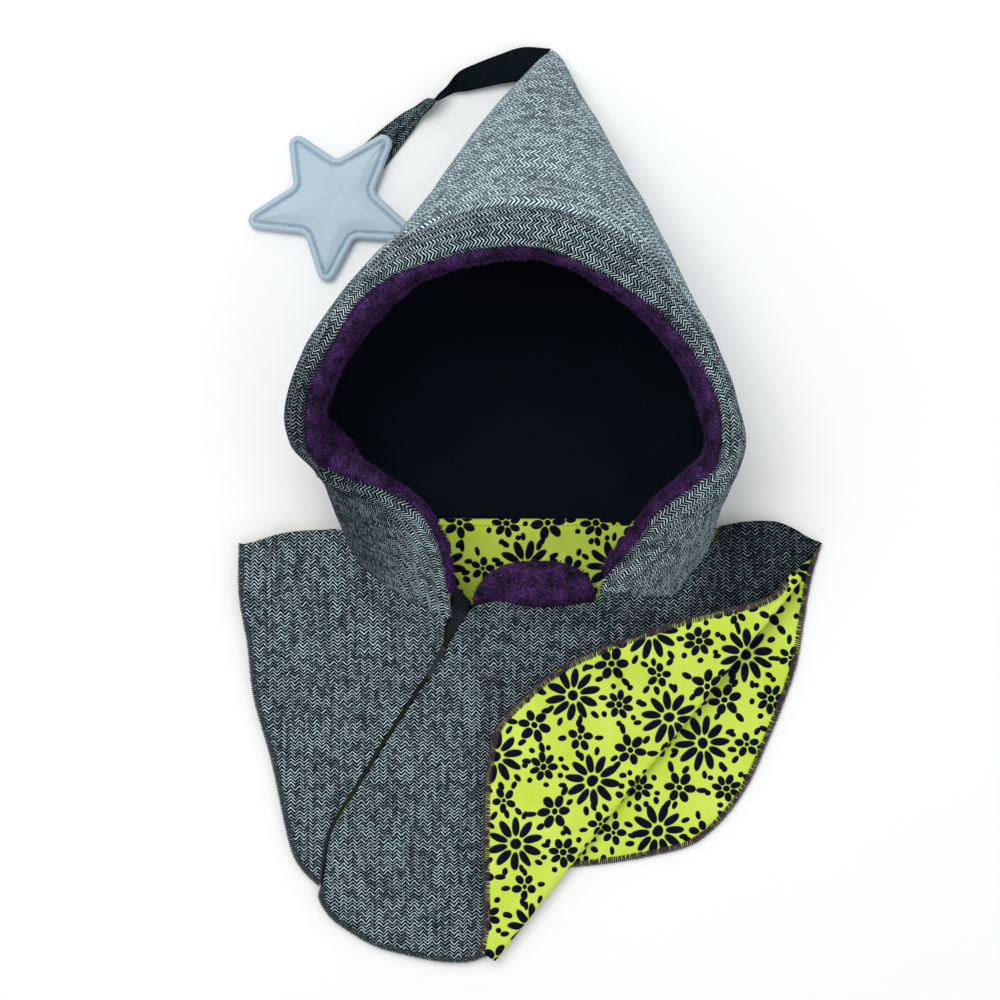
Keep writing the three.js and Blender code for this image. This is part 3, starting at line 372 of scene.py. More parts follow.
def rim_frame(t):
    """Start of the rim's roll, the directions out and over the rim, and the roll's size."""
    t = np.asarray(t, float)
    start = hood_point(t, 0)
    normal = hood_normal(t, 0)
    along = hood_point(np.clip(t + 0.01, 0, 1), 0) - hood_point(np.clip(t - 0.01, 0, 1), 0)
    over = unit(np.cross(normal, along))
    into = start - hood_point(t, 0.06)
    over = np.where((over * into).sum(-1, keepdims=True) < 0, -over, over)
    size = lerp(0.55, 1, smooth((0.5 - np.abs(t - 0.5)) / 0.16))
    return start, normal, over, size[..., None]


def rim_point(rim, over, inward):
    """Point over the rim and in from the cloth's outer side."""
    start, normal, sideways, size = rim
    over = np.asarray(over, float)[..., None]
    inward = np.asarray(inward, float)[..., None]
    return start + sideways * over * size - normal * inward * size


def ripples(at, size, seed):
    """Smooth pseudo-random heights, mostly between -1 and 1, from a few crossing waves."""
    rng = np.random.default_rng(seed)
    total = np.zeros(at.shape[:-1])
    for _ in range(7):
        way = unit(rng.normal(size=3)) / size * rng.uniform(0.6, 1.7)
        total += np.sin(2 * math.pi * (at @ way) + rng.uniform(0, 6.28))
    return total / 4


# Meshes. A sheet is two sides on one grid, closed along its edges, with a UV map in millimetres.
def linked(name, data):
    """A new object of that data in the scene."""
    obj = bpy.data.objects.new(name, data)
    bpy.context.collection.objects.link(obj)
    return obj


def placed(rows):
    """Points of the tables' millimetres in the frame's metres."""
    return (np.asarray(rows, float) + (0, ORIGIN_BELOW_NECK, 0)) / 1000


def mesh_object(name, verts, faces, uvs=None, materials=(), slots=None):
    """A mesh object in the frame: verts in millimetres, uvs one pair for each corner of each face."""
    mesh = bpy.data.meshes.new(name)
    mesh.from_pydata(placed(verts).tolist(), [], [list(map(int, f)) for f in faces])
    for material in materials:
        mesh.materials.append(material)
    if slots is not None:
        mesh.polygons.foreach_set("material_index", np.asarray(slots, np.int32))
    if uvs is not None:
        mesh.uv_layers.new(name="cloth").data.foreach_set("uv", np.asarray(uvs, np.float32).ravel())
    mesh.polygons.foreach_set("use_smooth", np.ones(len(mesh.polygons), bool))
    mesh.update()
    mesh.validate()
    return linked(name, mesh)


def quads(columns, rows):
    """Faces of a grid of points."""
    i, j = np.meshgrid(np.arange(columns), np.arange(rows), indexing="ij")
    a = (i * (rows + 1) + j).ravel()
    return np.stack([a, a + rows + 1, a + rows + 2, a + 1], -1)


def edge_loop(columns, rows):
    """Numbers of the grid's points round its edge, in the same turn as its faces."""
    w = rows + 1
    out = [i * w for i in range(columns + 1)] + [columns * w + j for j in range(1, w)]
    return out + [i * w + rows for i in range(columns - 1, -1, -1)] + list(range(rows - 1, 0, -1))


def closed_sheet(name, top, low, faces, loop, uv, material, out=None, corner=None, seam=(), judged=None):
    """A sheet of two sides on the same faces, closed round its loop except between points of a seam. Its upper
    side faces up, or away from out, which the first judged faces tell. uv is each point's place on the cloth and
    corner, where given, each face corner's."""
    count = len(top)
    corner = uv[faces] if corner is None else corner
    a, b, d = (top[faces[:judged, k]] for k in (0, 1, 3))
    away = (0, 0, 1.0) if out is None else a - out
    if (np.cross(b - a, d - a) * away).sum() < 0:
        faces, corner, loop = faces[:, ::-1], corner[:, ::-1], loop[::-1]
    rim = np.array([(i, i + count, j + count, j) for j, i in zip(loop, loop[1:] + loop[:1])
                    if i not in seam or j not in seam])
    uvs = np.concatenate([corner, corner[:, ::-1], np.vstack([uv, uv])[rim]])
    every = np.concatenate([faces, faces[:, ::-1] + count, rim])
    return mesh_object(name, np.vstack([top, low]), every, uvs, [material])


def sheet_mesh(name, upper, lower, uv, material, out=None, corner=None, seam=False):
    """A sheet from two grids of points [columns + 1, rows + 1, 3]. A seam is a last row that is joined to itself."""
    columns, rows = upper.shape[0] - 1, upper.shape[1] - 1
    top = upper.reshape(-1, 3)
    seam = set(range(rows, len(top), rows + 1)) if seam else ()
    return closed_sheet(name, top, lower.reshape(-1, 3), quads(columns, rows), edge_loop(columns, rows),
                        uv.reshape(-1, 2), material, out, corner, seam)


def loft_mesh(name, sections, materials, uv_scale=1.0, slot_of=lambda j: 0):
    """A closed solid through closed sections [count, corners, 3] with flat ends."""
    count, n = sections.shape[:2]
    middle = sections[count // 2]
    along, around = arc(sections.mean(1)), arc(np.vstack([middle, middle[:1]]))
    i, j = (side.ravel() for side in np.meshgrid(np.arange(count - 1), np.arange(n), indexing="ij"))
    k = (j + 1) % n
    faces = np.stack([i * n + j, (i + 1) * n + j, (i + 1) * n + k, i * n + k], -1).tolist()
    uvs = np.stack([along[np.stack([i, i + 1, i + 1, i], -1)], around[np.stack([j, j, j + 1, j + 1], -1)]], -1)
    for j in range(n):
        k = (j + 1) % n
        faces += [(count * n, j, k), (count * n + 1, (count - 1) * n + k, (count - 1) * n + j)]
    slots = [slot_of(j) for j in range(n)]
    uvs = np.vstack([uvs.reshape(-1, 2), np.zeros((6 * n, 2))]) * uv_scale
    verts = [*sections.reshape(-1, 3), sections[0].mean(0), sections[-1].mean(0)]
    obj = mesh_object(name, verts, faces, uvs, materials, [*slots * (count - 1), *np.repeat(slots, 2)])
    remade(obj)
    return obj


def remade(obj, weld=None):
    """Turns a closed mesh's faces round where it came out inside out, after welding points nearer than weld."""
    bm = bmesh.new()
    bm.from_mesh(obj.data)
    if weld:
        bmesh.ops.remove_doubles(bm, verts=bm.verts, dist=weld)
        bmesh.ops.dissolve_degenerate(bm, edges=bm.edges, dist=1e-7)
        bmesh.ops.recalc_face_normals(bm, faces=bm.faces)
    if bm.calc_volume(signed=True) < 0:
        bmesh.ops.reverse_faces(bm, faces=bm.faces)
    bm.to_mesh(obj.data)
    bm.free()


def settle(obj, slot, *nodes):
    """Rides on the hood's body and stands for CAD nodes, which it hides. Its slot is not used."""
    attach(obj, "hood")
    if nodes:
        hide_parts(*nodes)
    return obj


# The cape's shape: heights of the front panels over the table and the outlines' patches.
NECK_STEPS = 16
NECK_TO_SHOULDER = 0.5  # share of the neck's edge that runs down to the shoulder
SEAM_CLEARANCE = 2.8
SEAM_DROP = 3
# how far from the neck's seam, and the share of its height that is left there
SLOPE = [(0, 1), (8, 0.72), (20, 0.42), (38, 0.44), (60, 0.24), (95, 0.05), (130, 0)]
slope_share = through(*zip(*SLOPE))


def neck_point(t, share):
    """Point of the neck's edge, from the front to the shoulder."""
    return hood_point(t, np.asarray(share, float) * NECK_TO_SHOULDER)


NECK_SHARES = np.linspace(0, 1, NECK_STEPS + 1)
NECK_SEAM = np.vstack([
    neck_point(0, NECK_SHARES[::-1]),
    under(*np.array(FRONT_NECKLINE, float).T, NECKLINE_HEIGHT),
    neck_point(1, NECK_SHARES),
])


def nearest(line, x, y):
    """Distance in plan from points to a line, and the line's third value at the nearest place."""
    line = np.asarray(line, float)
    if line.shape[1] == 2:
        line = np.column_stack([line, np.zeros(len(line))])
    x, y = np.asarray(x, float)[..., None], np.asarray(y, float)[..., None]
    a, b = line[:-1], line[1:]
    run = (b - a)[:, :2]
    t = ((x - a[:, 0]) * run[:, 0] + (y - a[:, 1]) * run[:, 1]) / np.maximum((run**2).sum(1), 1e-9)
    t = np.clip(t, 0, 1)
    far = np.hypot(x - lerp(a[:, 0], b[:, 0], t), y - lerp(a[:, 1], b[:, 1], t))
    best = far.argmin(-1)[..., None]
    z = np.take_along_axis(lerp(a[:, 2], b[:, 2], t), best, -1)
    return np.take_along_axis(far, best, -1)[..., 0], z[..., 0]


def front_height(x, y):
    """Height of the fronts' underside: high at the neck's seam, rolled near the shoulders."""
    far, neck_z = nearest(NECK_SEAM, x, y)
    side = np.minimum(nearest(LEFT_SHOULDER, x, y)[0], nearest(RIGHT_SHOULDER, x, y)[0])
    top = neck_z - SEAM_DROP - FRONT_REST - CAPE_TWEED - CAPE_LINING - GAP
    rise = np.maximum(0, top) * slope_share(np.minimum(far, 130))
    roll = 9 * smooth(side / 14) * smooth(1 - side / 70)
    return FRONT_REST + np.maximum(rise, roll) * lerp(0.2, 1, smooth(side / 32))


def front_at(at, over):
    """Points over the fronts' underside, further up where it is steep."""
    step = 1.5
    x, y = at[..., 0], at[..., 1]
    height = front_height(x, y)
    slope_x = (front_height(x + step, y) - height) / step
    slope_y = (front_height(x, y + step) - height) / step
    steep = np.minimum(2.2, np.sqrt(1 + slope_x**2 + slope_y**2))
    return points(x, y, height + over * steep)


def patch_point(patch, t, s):
    """Point of a patch between four curves."""
    top, bottom, left, right = (patch[key] for key in ("top", "bottom", "left", "right"))
    t3, s3 = np.asarray(t, float)[..., None], np.asarray(s, float)[..., None]
    at = top(t) * (1 - s3) + bottom(t) * s3 + left(s) * (1 - t3) + right(s) * t3
    at = at - top(0) * (1 - s3) * (1 - t3) - top(1) * (1 - s3) * t3
    return at - bottom(0) * s3 * (1 - t3) - bottom(1) * s3 * t3


def beside(line, offset, steps=40):
    """A curve beside another at a distance, which may vary."""
    t = np.linspace(0, 1, steps + 1)
    ahead = line(np.minimum(1, t + 0.01)) - line(np.maximum(0, t - 0.01))
    ahead[:, 2] = 0
    ahead = unit(ahead)
    by = offset(t) if callable(offset) else np.full(len(t), float(offset))
    at = line(t)
    at[:, 2] = 0
    return plan_curve(at + points(-ahead[:, 1], ahead[:, 0], 0) * by[:, None])


ZIP = np.array(ZIP_LINE, float)
zip_middle = plan_curve(ZIP[:, :2])


def zip_half(t):
    """Half the zip's width along its middle."""
    at = zip_middle(t)
    return nearest(ZIP, at[..., 0], at[..., 1])[1]


zip_left = beside(zip_middle, lambda t: -(zip_half(t) + GAP))
zip_right = beside(zip_middle, lambda t: zip_half(t) + GAP)
seam_left = beside(lambda t: neck_point(0, t), -SEAM_CLEARANCE)
seam_right = beside(lambda t: neck_point(1, t), SEAM_CLEARANCE)


def flat(row):
    return np.array([row[0], row[1], 0.0])


LEFT_PATCH = {
    "top": joined(lambda t: seam_left(1 - t), zip_left(0)),
    "right": zip_left,
    "left": joined(seam_left(1), LEFT_SHOULDER),
    "bottom": plan_curve(LEFT_HEM),
}
FOLD_WAY = unit(flat(FOLD_BOTTOM) - flat(FOLD_TOP))
FOLD_NORMAL = np.array([-FOLD_WAY[1], FOLD_WAY[0], 0.0])
FOLD_A = flat(FOLD_TOP) - FOLD_NORMAL * FLAP_TURN
FOLD_B = flat(FOLD_BOTTOM) - FOLD_NORMAL * FLAP_TURN
FOLD_LENGTH = float(np.linalg.norm(FOLD_B - FOLD_A))
SHOULDER_SHARE = 0.25


def fold_start(s):
    """Point of the flap's fold line."""
    return FOLD_A + (FOLD_B - FOLD_A) * np.asarray(s, float)[..., None]


SHOULDER_TO_FOLD = joined(RIGHT_SHOULDER, HEM_END, FOLD_A)


def right_edge(s):
    """The right front's outer edge: the shoulder's hem, then the fold."""
    s = np.asarray(s, float)
    above = SHOULDER_TO_FOLD(s / SHOULDER_SHARE)
    below = fold_start(np.clip((s - SHOULDER_SHARE) / (1 - SHOULDER_SHARE), 0, 1))
    return np.where((s <= SHOULDER_SHARE)[..., None], above, below)


RIGHT_PATCH = {
    "top": joined(zip_right(0), FRONT_NECKLINE, seam_right, flat(RIGHT_SHOULDER[0])),
    "left": zip_right,
    "right": right_edge,
    "bottom": joined(zip_right(1), RIGHT_HEM, FOLD_B),
}
_flap = np.array([flat(row) - FOLD_A for row in FLAP_EDGE[::-1]])
flap_width = through(_flap @ FOLD_WAY, -(_flap @ FOLD_NORMAL))
BACK_NECK = 108
BACK_CLEARANCE = 2.5
_mirrored_hem = [(-x, y) for x, y in BACK_HEM[1:]]
BACK_PATCH = {
    "top": lambda t: points(lerp(-BACK_NECK, BACK_NECK, np.asarray(t, float)), -BACK_CLEARANCE, 0),
    "right": joined(flat((BACK_NECK, -BACK_CLEARANCE)), RIGHT_SHOULDER),
    "left": joined(flat((-BACK_NECK, -BACK_CLEARANCE)), LEFT_SHOULDER[:-1]),
    "bottom": joined([LEFT_SHOULDER[-2], *_mirrored_hem], BACK_HEM[::-1]),
}


# Materials
def linear(hex_code):
    """An sRGB hex colour as linear red, green, blue and alpha."""
    parts = [int(hex_code[k : k + 2], 16) / 255 for k in (1, 3, 5)]
    return (*[c / 12.92 if c <= 0.04045 else ((c + 0.055) / 1.055) ** 2.4 for c in parts], 1.0)


def add(tree, kind, inputs=None, **settings):
    """Adds a node: settings are its properties, inputs its sockets' values, nodes, sockets or (node, output)."""
    node = tree.nodes.new(kind)
    for key, value in settings.items():
        setattr(node, key, value)
    for key, value in (inputs or {}).items():
        if isinstance(value, tuple) and isinstance(value[0], bpy.types.Node):
            value = value[0].outputs[value[1]]
        if isinstance(value, bpy.types.Node):
            value = value.outputs[0]
        if isinstance(value, bpy.types.NodeSocket):
            tree.links.new(value, node.inputs[key])
        else:
            node.inputs[key].default_value = value
    return node


def calc(tree, operation, *values, clamp=False):
    """A Math node on values in order."""
    return add(tree, "ShaderNodeMath", dict(enumerate(values)), operation=operation, use_clamp=clamp)


def shift(tree, operation, *values):
    """A Vector Math node on values in order."""
    return add(tree, "ShaderNodeVectorMath", dict(enumerate(values)), operation=operation)


def ranged(tree, value, low, high, start=0.0, end=1.0, **settings):
    """Start where a value is at low, end where it is at high."""
    return add(tree, "ShaderNodeMapRange", {0: value, 1: low, 2: high, 3: start, 4: end}, **settings)


def noise(tree, place, scale, detail=2.0):
    return add(tree, "ShaderNodeTexNoise", {"Vector": place, "Scale": scale, "Detail": detail})


def wave(tree, place, scale, distortion, **settings):
    return add(tree, "ShaderNodeTexWave", {"Vector": place, "Scale": scale, "Distortion": distortion}, **settings)


def blend(tree, share, dark, light):
    """A colour between two, which are hex codes, colours or sockets."""
    dark, light = (linear(colour) if isinstance(colour, str) else colour for colour in (dark, light))
    return add(tree, "ShaderNodeMix", {0: share, 6: dark, 7: light}, data_type="RGBA").outputs[2]


def new_material(name, roughness, on_cloth=False, **more):
    """A material with one Principled shader, whose plain values are set on its own sockets, and a node for its
    place: on the cloth, or in the object."""
    material = bpy.data.materials.new(name)
    material.use_nodes = True
    tree = material.node_tree
    shader = tree.nodes["Principled BSDF"]
    for key, value in {"Roughness": roughness, **more}.items():
        shader.inputs[key.replace("_", " ")].default_value = value
    if on_cloth:
        return material, tree, add(tree, "ShaderNodeUVMap", uv_map="cloth")
    return material, tree, (add(tree, "ShaderNodeTexCoord"), "Object")


def finish_material(material, colour, height=None, distance=0.0003, strength=0.5, roughness=None):
    """Joins colour, bump height and roughness to the shader."""
    tree = material.node_tree
    shader = tree.nodes["Principled BSDF"]
    tree.links.new(colour, shader.inputs["Base Color"])
    if roughness is not None:
        tree.links.new(roughness.outputs[0], shader.inputs["Roughness"])
    if height is not None:
        bump = add(tree, "ShaderNodeBump", {"Strength": strength, "Distance": distance, "Height": height})
        tree.links.new(bump.outputs[0], shader.inputs["Normal"])
    return material


def tweed_material(sizes, colours):
    """Wool tweed woven in herringbone: slanted light strokes over dark warp that turn back at every column, so
    the cloth looks grey with fine chevrons. Matte. Columns and strokes are spaced about as the photograph shows
    them."""
    material, tree, place = new_material("wool tweed woven in herringbone", 0.92, True, Specular_IOR_Level=0.08)
    # Painted light and shade stored on each point: where it is positive the light strokes are widened and lightened
    # as painted light, where negative they are narrowed and darkened as painted shade.
    painted_light_fac = (add(tree, "ShaderNodeAttribute", attribute_name="brushed"), "Fac")
    parts = add(tree, "ShaderNodeSeparateXYZ", {0: place})
    column = calc(tree, "DIVIDE", (parts, 1), sizes.column * 1000)
    along = calc(tree, "DIVIDE", (parts, 0), sizes.pick * 1000)
    slant = calc(tree, "MULTIPLY_ADD", calc(tree, "PINGPONG", column, 1.0), 1.25, along)
    bend = calc(tree, "MULTIPLY", noise(tree, place, 0.12), 1.1)
    phase = calc(tree, "ADD", slant, bend)
    away = calc(tree, "ABSOLUTE", calc(tree, "SUBTRACT", calc(tree, "FRACT", phase), 0.5))
    share = calc(tree, "MULTIPLY_ADD", painted_light_fac, 0.08, 0.165)
    pick = ranged(tree, calc(tree, "SUBTRACT", away, share), 0.02, -0.02, interpolation_type="SMOOTHSTEP")
    break_line = ranged(tree, calc(tree, "PINGPONG", column, 0.5), 0.0, 0.1, 0.35)
    joint = add(tree, "ShaderNodeCombineXYZ", {0: calc(tree, "FLOOR", phase), 1: calc(tree, "FLOOR", column)})
    chance = add(tree, "ShaderNodeTexWhiteNoise", {"Vector": joint}, noise_dimensions="2D")
    long_way = add(tree, "ShaderNodeMapping", {0: place, 3: (0.02, 0.45, 1.0)})
    streaks = ranged(tree, noise(tree, long_way, 1.0, 3.0), 0.3, 0.7, 0.35, 1.35)
    lit = calc(tree, "MULTIPLY", pick, ranged(tree, chance, 0.0, 1.0, 0.25, 1.3))
    yarn = calc(tree, "MULTIPLY", calc(tree, "MULTIPLY", lit, break_line), streaks, clamp=True)
    # lift adds the painted light and shade to the yarn's tone.
    lift = calc(tree, "MULTIPLY_ADD", painted_light_fac, 0.06, yarn, clamp=True)
    return finish_material(material, blend(tree, lift, colours.dark_yarn, colours.light_yarn), pick, 0.0003, 0.4)


def plush_material(colours):
    """Polyester plush, a cut pile: a nearly black ground with painted highlights of lighter purple, in a fine grain
    and in soft patches.
    """
    material, tree, place = new_material(
        "polyester plush, cut pile", 0.75, Sheen_Weight=0.2, Sheen_Roughness=0.35, Specular_IOR_Level=0.15,
        Sheen_Tint=linear("#8a5a98"),
    )
    hair = noise(tree, place, 650.0)
    both = calc(tree, "MULTIPLY_ADD", hair, 0.9, noise(tree, place, 110.0, 3.0))
    # Painted highlight: the two noises lighten the plush from its ground colour towards its painted highlight colour.
    colour = blend(tree, ranged(tree, both, 0.72, 1.3), colours.pile_ground, colours.pile_painted_highlight)
    return finish_material(material, colour, hair, 0.0012, 0.7)


def lining_material():
    """Brushed cotton jersey, nearly black: fine vertical ribs and no gloss."""
    material, tree, place = new_material("cotton jersey, piece-dyed black", 0.95, Specular_IOR_Level=0.1)
    rib = wave(tree, place, 350.0, 1.5)
    tone = calc(tree, "MULTIPLY_ADD", rib, 0.3, noise(tree, place, 22.0, 4.0))
    return finish_material(material, blend(tree, tone, "#02070c", "#07111b"), rib, 0.0003, 0.3)


def flower(tree, cell, turn, petals, reach, length, width):
    """Ink of a ring of rounded petals round a cell's middle: 1 inside a petal. Sizes are shares of a cell."""
    parts = add(tree, "ShaderNodeSeparateXYZ", {0: cell})
    far = (shift(tree, "LENGTH", cell), "Value")
    turned = calc(tree, "ADD", calc(tree, "ARCTAN2", (parts, 1), (parts, 0)), turn)
    step = 2 * math.pi / petals
    off = calc(tree, "SUBTRACT", calc(tree, "FLOORED_MODULO", turned, step), step / 2)
    aside = calc(tree, "MULTIPLY", far, calc(tree, "SINE", off))
    out = calc(tree, "MULTIPLY", far, calc(tree, "COSINE", off))
    long_share = calc(tree, "DIVIDE", calc(tree, "SUBTRACT", out, reach), length)
    wide_share = calc(tree, "DIVIDE", aside, width)
    long_square = calc(tree, "MULTIPLY", long_share, long_share)
    return ranged(tree, calc(tree, "MULTIPLY_ADD", wide_share, wide_share, long_square), 1.15, 0.85)


# The print: daisies in half-drop columns with blossoms, leaves and buds between them. Each row is the shift of its
# cells, its rings of petals (how many, their reach, half length, half width and turn) and its round heart.
PRINT_LAYOUT = [
    ((0.0, 0.0), [(10, 0.2, 0.112, 0.047, 0.0), (10, 0.345, 0.05, 0.032, 0.314)], 0.062),
    ((0.5, 0.25), [(6, 0.12, 0.072, 0.05, 0.0), (3, 0.26, 0.066, 0.034, 0.5)], 0.036),
    ((0.02, 0.5), [(5, 0.09, 0.056, 0.042, 0.3), (4, 0.205, 0.05, 0.03, 0.0)], 0.026),
    ((0.5, 0.72), [(7, 0.105, 0.06, 0.04, 0.2), (7, 0.215, 0.034, 0.032, 0.65)], 0.038),
]


def print_material(sizes, colours):
    """Cotton jersey with a one-colour screen print: ink flowers and dots on a bright ground."""
    material, tree, place = new_material("cotton jersey, screen printed", 0.9, True, Specular_IOR_Level=0.05)
    slack = shift(tree, "MULTIPLY", (noise(tree, place, 0.05, 1.0), "Color"), (4, 4, 0))
    moved = shift(tree, "ADD", place, slack)
    repeat = 1 / (sizes.print_repeat * 1000)
    inks = []
    for offset, rings, heart in PRINT_LAYOUT:
        scaled = add(tree, "ShaderNodeMapping", {0: moved, 1: (*offset, 0), 3: (repeat, repeat, 1)})
        parts = add(tree, "ShaderNodeSeparateXYZ", {0: scaled})
        column = calc(tree, "FLOOR", (parts, 0))
        dropped = calc(tree, "MULTIPLY_ADD", calc(tree, "FLOORED_MODULO", column, 2.0), 0.5, (parts, 1))
        across, up = calc(tree, "FRACT", (parts, 0)), calc(tree, "FRACT", dropped)
        cell = shift(tree, "SUBTRACT", add(tree, "ShaderNodeCombineXYZ", {0: across, 1: up}), (0.5, 0.5, 0))
        number = add(tree, "ShaderNodeCombineXYZ", {0: column, 1: calc(tree, "FLOOR", dropped)})
        chance = add(tree, "ShaderNodeTexWhiteNoise", {"Vector": number}, noise_dimensions="2D")
        turn = calc(tree, "MULTIPLY", chance, 6.28)
        for petals, reach, length, width, more in rings:
            inks.append(flower(tree, cell, calc(tree, "ADD", turn, more), petals, reach, length, width))
        far = (shift(tree, "LENGTH", cell), "Value")
        inks.append(ranged(tree, far, heart * 1.08, heart * 0.92))
    ink = inks[0]
    for more in inks[1:]:
        ink = calc(tree, "MAXIMUM", ink, more)
    # Painted shade: soft random patches darken the print's ground towards its shaded colour.
    painted_shade = ranged(tree, noise(tree, place, 0.035, 3.0), 0.3, 0.7)
    lime = blend(tree, painted_shade, colours.print_shade, colours.print_ground)
    knit = wave(tree, add(tree, "ShaderNodeMapping", {0: place, 3: (1.1, 1.1, 1.0)}), 0.35, 0.6)
    return finish_material(material, blend(tree, ink, lime, colours.print_ink), knit, 0.0002, 0.35)


def thread_material(name, ground, light):
    """Spun polyester thread: two plies whose twist shows as slanted light and dark."""
    material, tree, place = new_material(name, 0.6, Sheen_Weight=0.2, Specular_IOR_Level=0.4)
    ply = wave(tree, place, 1000 / 5.4, 2.0)
    tone = calc(tree, "MULTIPLY", ply, noise(tree, place, 120.0))
    return finish_material(material, blend(tree, tone, ground, light), ply, 0.0002, 0.5)


def tape_material():
    """Polyester zip tape, woven and dyed black: a fine rib, hardly any gloss."""
    material, tree, place = new_material("polyester zip tape, woven", 0.8, Specular_IOR_Level=0.3)
    rib = wave(tree, place, 400.0, 0.4)
    return finish_material(material, blend(tree, rib, "#070f14", "#15222a"), rib, 0.0002, 0.5)


def reverse_material():
    """The strap's plain reverse: dark cotton twill with a fine diagonal."""
    material, tree, place = new_material("cotton twill, dyed dark", 0.9, True, Specular_IOR_Level=0.1)
    twill = wave(tree, place, 0.22, 0.5, bands_direction="DIAGONAL")
    tone = calc(tree, "MULTIPLY", twill, noise(tree, place, 0.08, 3.0))
    return finish_material(material, blend(tree, tone, "#02090d", "#0a1c25"), twill, 0.0002, 0.5)


def enamel_material():
    """Zinc alloy with a baked dark enamel: smooth, a little cloudy."""
    material, tree, place = new_material("zinc alloy, baked enamel", 0.32, Metallic=0.35)
    cloud = noise(tree, place, 420.0, 4.0)
    colour = blend(tree, ranged(tree, cloud, 0.35, 0.75), "#0b1215", "#22323a")
    return finish_material(material, colour, cloud, 0.00005, 0.3, ranged(tree, cloud, 0.3, 0.7, 0.25, 0.42))


def satin_material(colours):
    """Polyester satin over wadding: a smooth silky face, small puckers along the seams and a fine cross thread."""
    material, tree, place = new_material(
        "polyester satin", 0.42, Sheen_Weight=0.3, Sheen_Roughness=0.3, Specular_IOR_Level=0.45
    )
    mixed = calc(tree, "MULTIPLY_ADD", wave(tree, place, 500.0, 1.0), 0.12, noise(tree, place, 18.0, 3.0))
    colour = blend(tree, ranged(tree, mixed, 0.3, 0.85), colours.star_shade, colours.star)
    return finish_material(material, colour, noise(tree, place, 60.0, 4.0), 0.0012, 0.35)


def floor_material():
    """Matte white laminate under the hood."""
    material, tree, place = new_material("white laminate, matte", 0.7, Specular_IOR_Level=0.2)
    return finish_material(material, blend(tree, noise(tree, place, 3.0), "#f6f7f8", "#fbfcfd"))


def material_of(name, make, *args):
    """The material of that key, made once."""
    if name not in MADE:
        MADE[name] = make(*args)
    return MADE[name]


MADE = {}


# Geometry Nodes: pieces along a path, and pile over a surface.
def node_group(name, sockets):
    """An empty Geometry Nodes tree with named inputs, and its input node."""
    tree = bpy.data.node_groups.new(name, "GeometryNodeTree")
    tree.interface.new_socket("Geometry", in_out="OUTPUT", socket_type="NodeSocketGeometry")
    tree.interface.new_socket("Geometry", in_out="INPUT", socket_type="NodeSocketGeometry")
    for label, kind, default in [*sockets, ("Seed", "Int", 1), ("Material", "Material", None)]:
        socket = tree.interface.new_socket(label, in_out="INPUT", socket_type="NodeSocket" + kind)
        if default is not None:
            socket.default_value = default
    return tree, add(tree, "NodeGroupInput")


def random_size(tree, given, low, high):
    """A random number for each point, from the tree's own seed."""
    return add(tree, "FunctionNodeRandomValue", {2: low, 3: high, "Seed": (given, "Seed")}), 1


def set_out(tree, given, points_from, piece, rotation, size):
    """Sets the piece at every point, makes the result real and gives it the material."""
    pieces = add(tree, "GeometryNodeInstanceOnPoints", {
        "Points": (points_from, "Points"), "Instance": piece, "Rotation": rotation, "Scale": size,
    })
    real = add(tree, "GeometryNodeRealizeInstances", {0: pieces})
    coloured = add(tree, "GeometryNodeSetMaterial", {0: real, "Material": (given, "Material")})
    add(tree, "NodeGroupOutput", {0: coloured})
    return tree


def path_tree():
    """Sets a piece at equal steps along a path, its X along the path and its Z up."""
    tree, given = node_group("pieces along a path", [
        ("Piece", "Object", None), ("Spacing", "Float", 0.002), ("Lean", "Float", 0.0), ("Uneven", "Float", 0.1),
    ])
    line = add(tree, "GeometryNodeCurveToPoints", {"Curve": (given, 0), "Length": (given, "Spacing")}, mode="LENGTH")
    piece = add(tree, "GeometryNodeObjectInfo", {"Object": (given, "Piece")})
    facing = add(tree, "FunctionNodeAlignRotationToVector", {"Vector": (line, "Tangent")}, axis="X")
    upright = add(tree, "FunctionNodeAlignRotationToVector", {"Rotation": facing, "Vector": (0, 0, 1)}, axis="Z",
                  pivot_axis="X")
    wobble = random_size(tree, given, calc(tree, "MULTIPLY", (given, "Uneven"), -1.0), (given, "Uneven"))
    lean = calc(tree, "ADD", (given, "Lean"), wobble)
    turn = add(tree, "FunctionNodeAxisAngleToRotation", {"Axis": (0, 0, 1), "Angle": lean})
    both = add(tree, "FunctionNodeRotateRotation", {"Rotation": upright, "Rotate By": turn}, rotation_space="LOCAL")
    size = random_size(tree, given, calc(tree, "SUBTRACT", 1.0, (given, "Uneven")), 1.0)
    return set_out(tree, given, line, (piece, "Geometry"), both, size)


def pile_tree():
    """Sets slim hairs all over a surface, leaning one way and a little unevenly."""
    tree, given = node_group("pile over a surface", [
        ("Density", "Float", 9e5), ("Height", "Float", 0.003), ("Thickness", "Float", 0.0003),
        ("Lean", "Vector", (0.0, 0.0, 0.0)),
    ])
    spread = add(tree, "GeometryNodeDistributePointsOnFaces", {
        "Mesh": (given, 0), "Density": (given, "Density"), "Seed": (given, "Seed"),
    })
    hair = add(tree, "GeometryNodeMeshCone", {
        "Vertices": 3, "Radius Top": 0.0, "Radius Bottom": (given, "Thickness"), "Depth": (given, "Height"),
    }, fill_type="NGON")
    stray = add(tree, "FunctionNodeRandomValue", {
        0: (-0.55, -0.55, -0.3), 1: (0.55, 0.55, 0.3), "Seed": (given, "Seed"),
    }, data_type="FLOAT_VECTOR")
    way = shift(tree, "ADD", shift(tree, "ADD", (spread, "Normal"), (given, "Lean")), stray)
    turn = add(tree, "FunctionNodeAlignRotationToVector", {"Vector": way}, axis="Z")
    return set_out(tree, given, spread, (hair, "Mesh"), turn, random_size(tree, given, 0.55, 1.1))


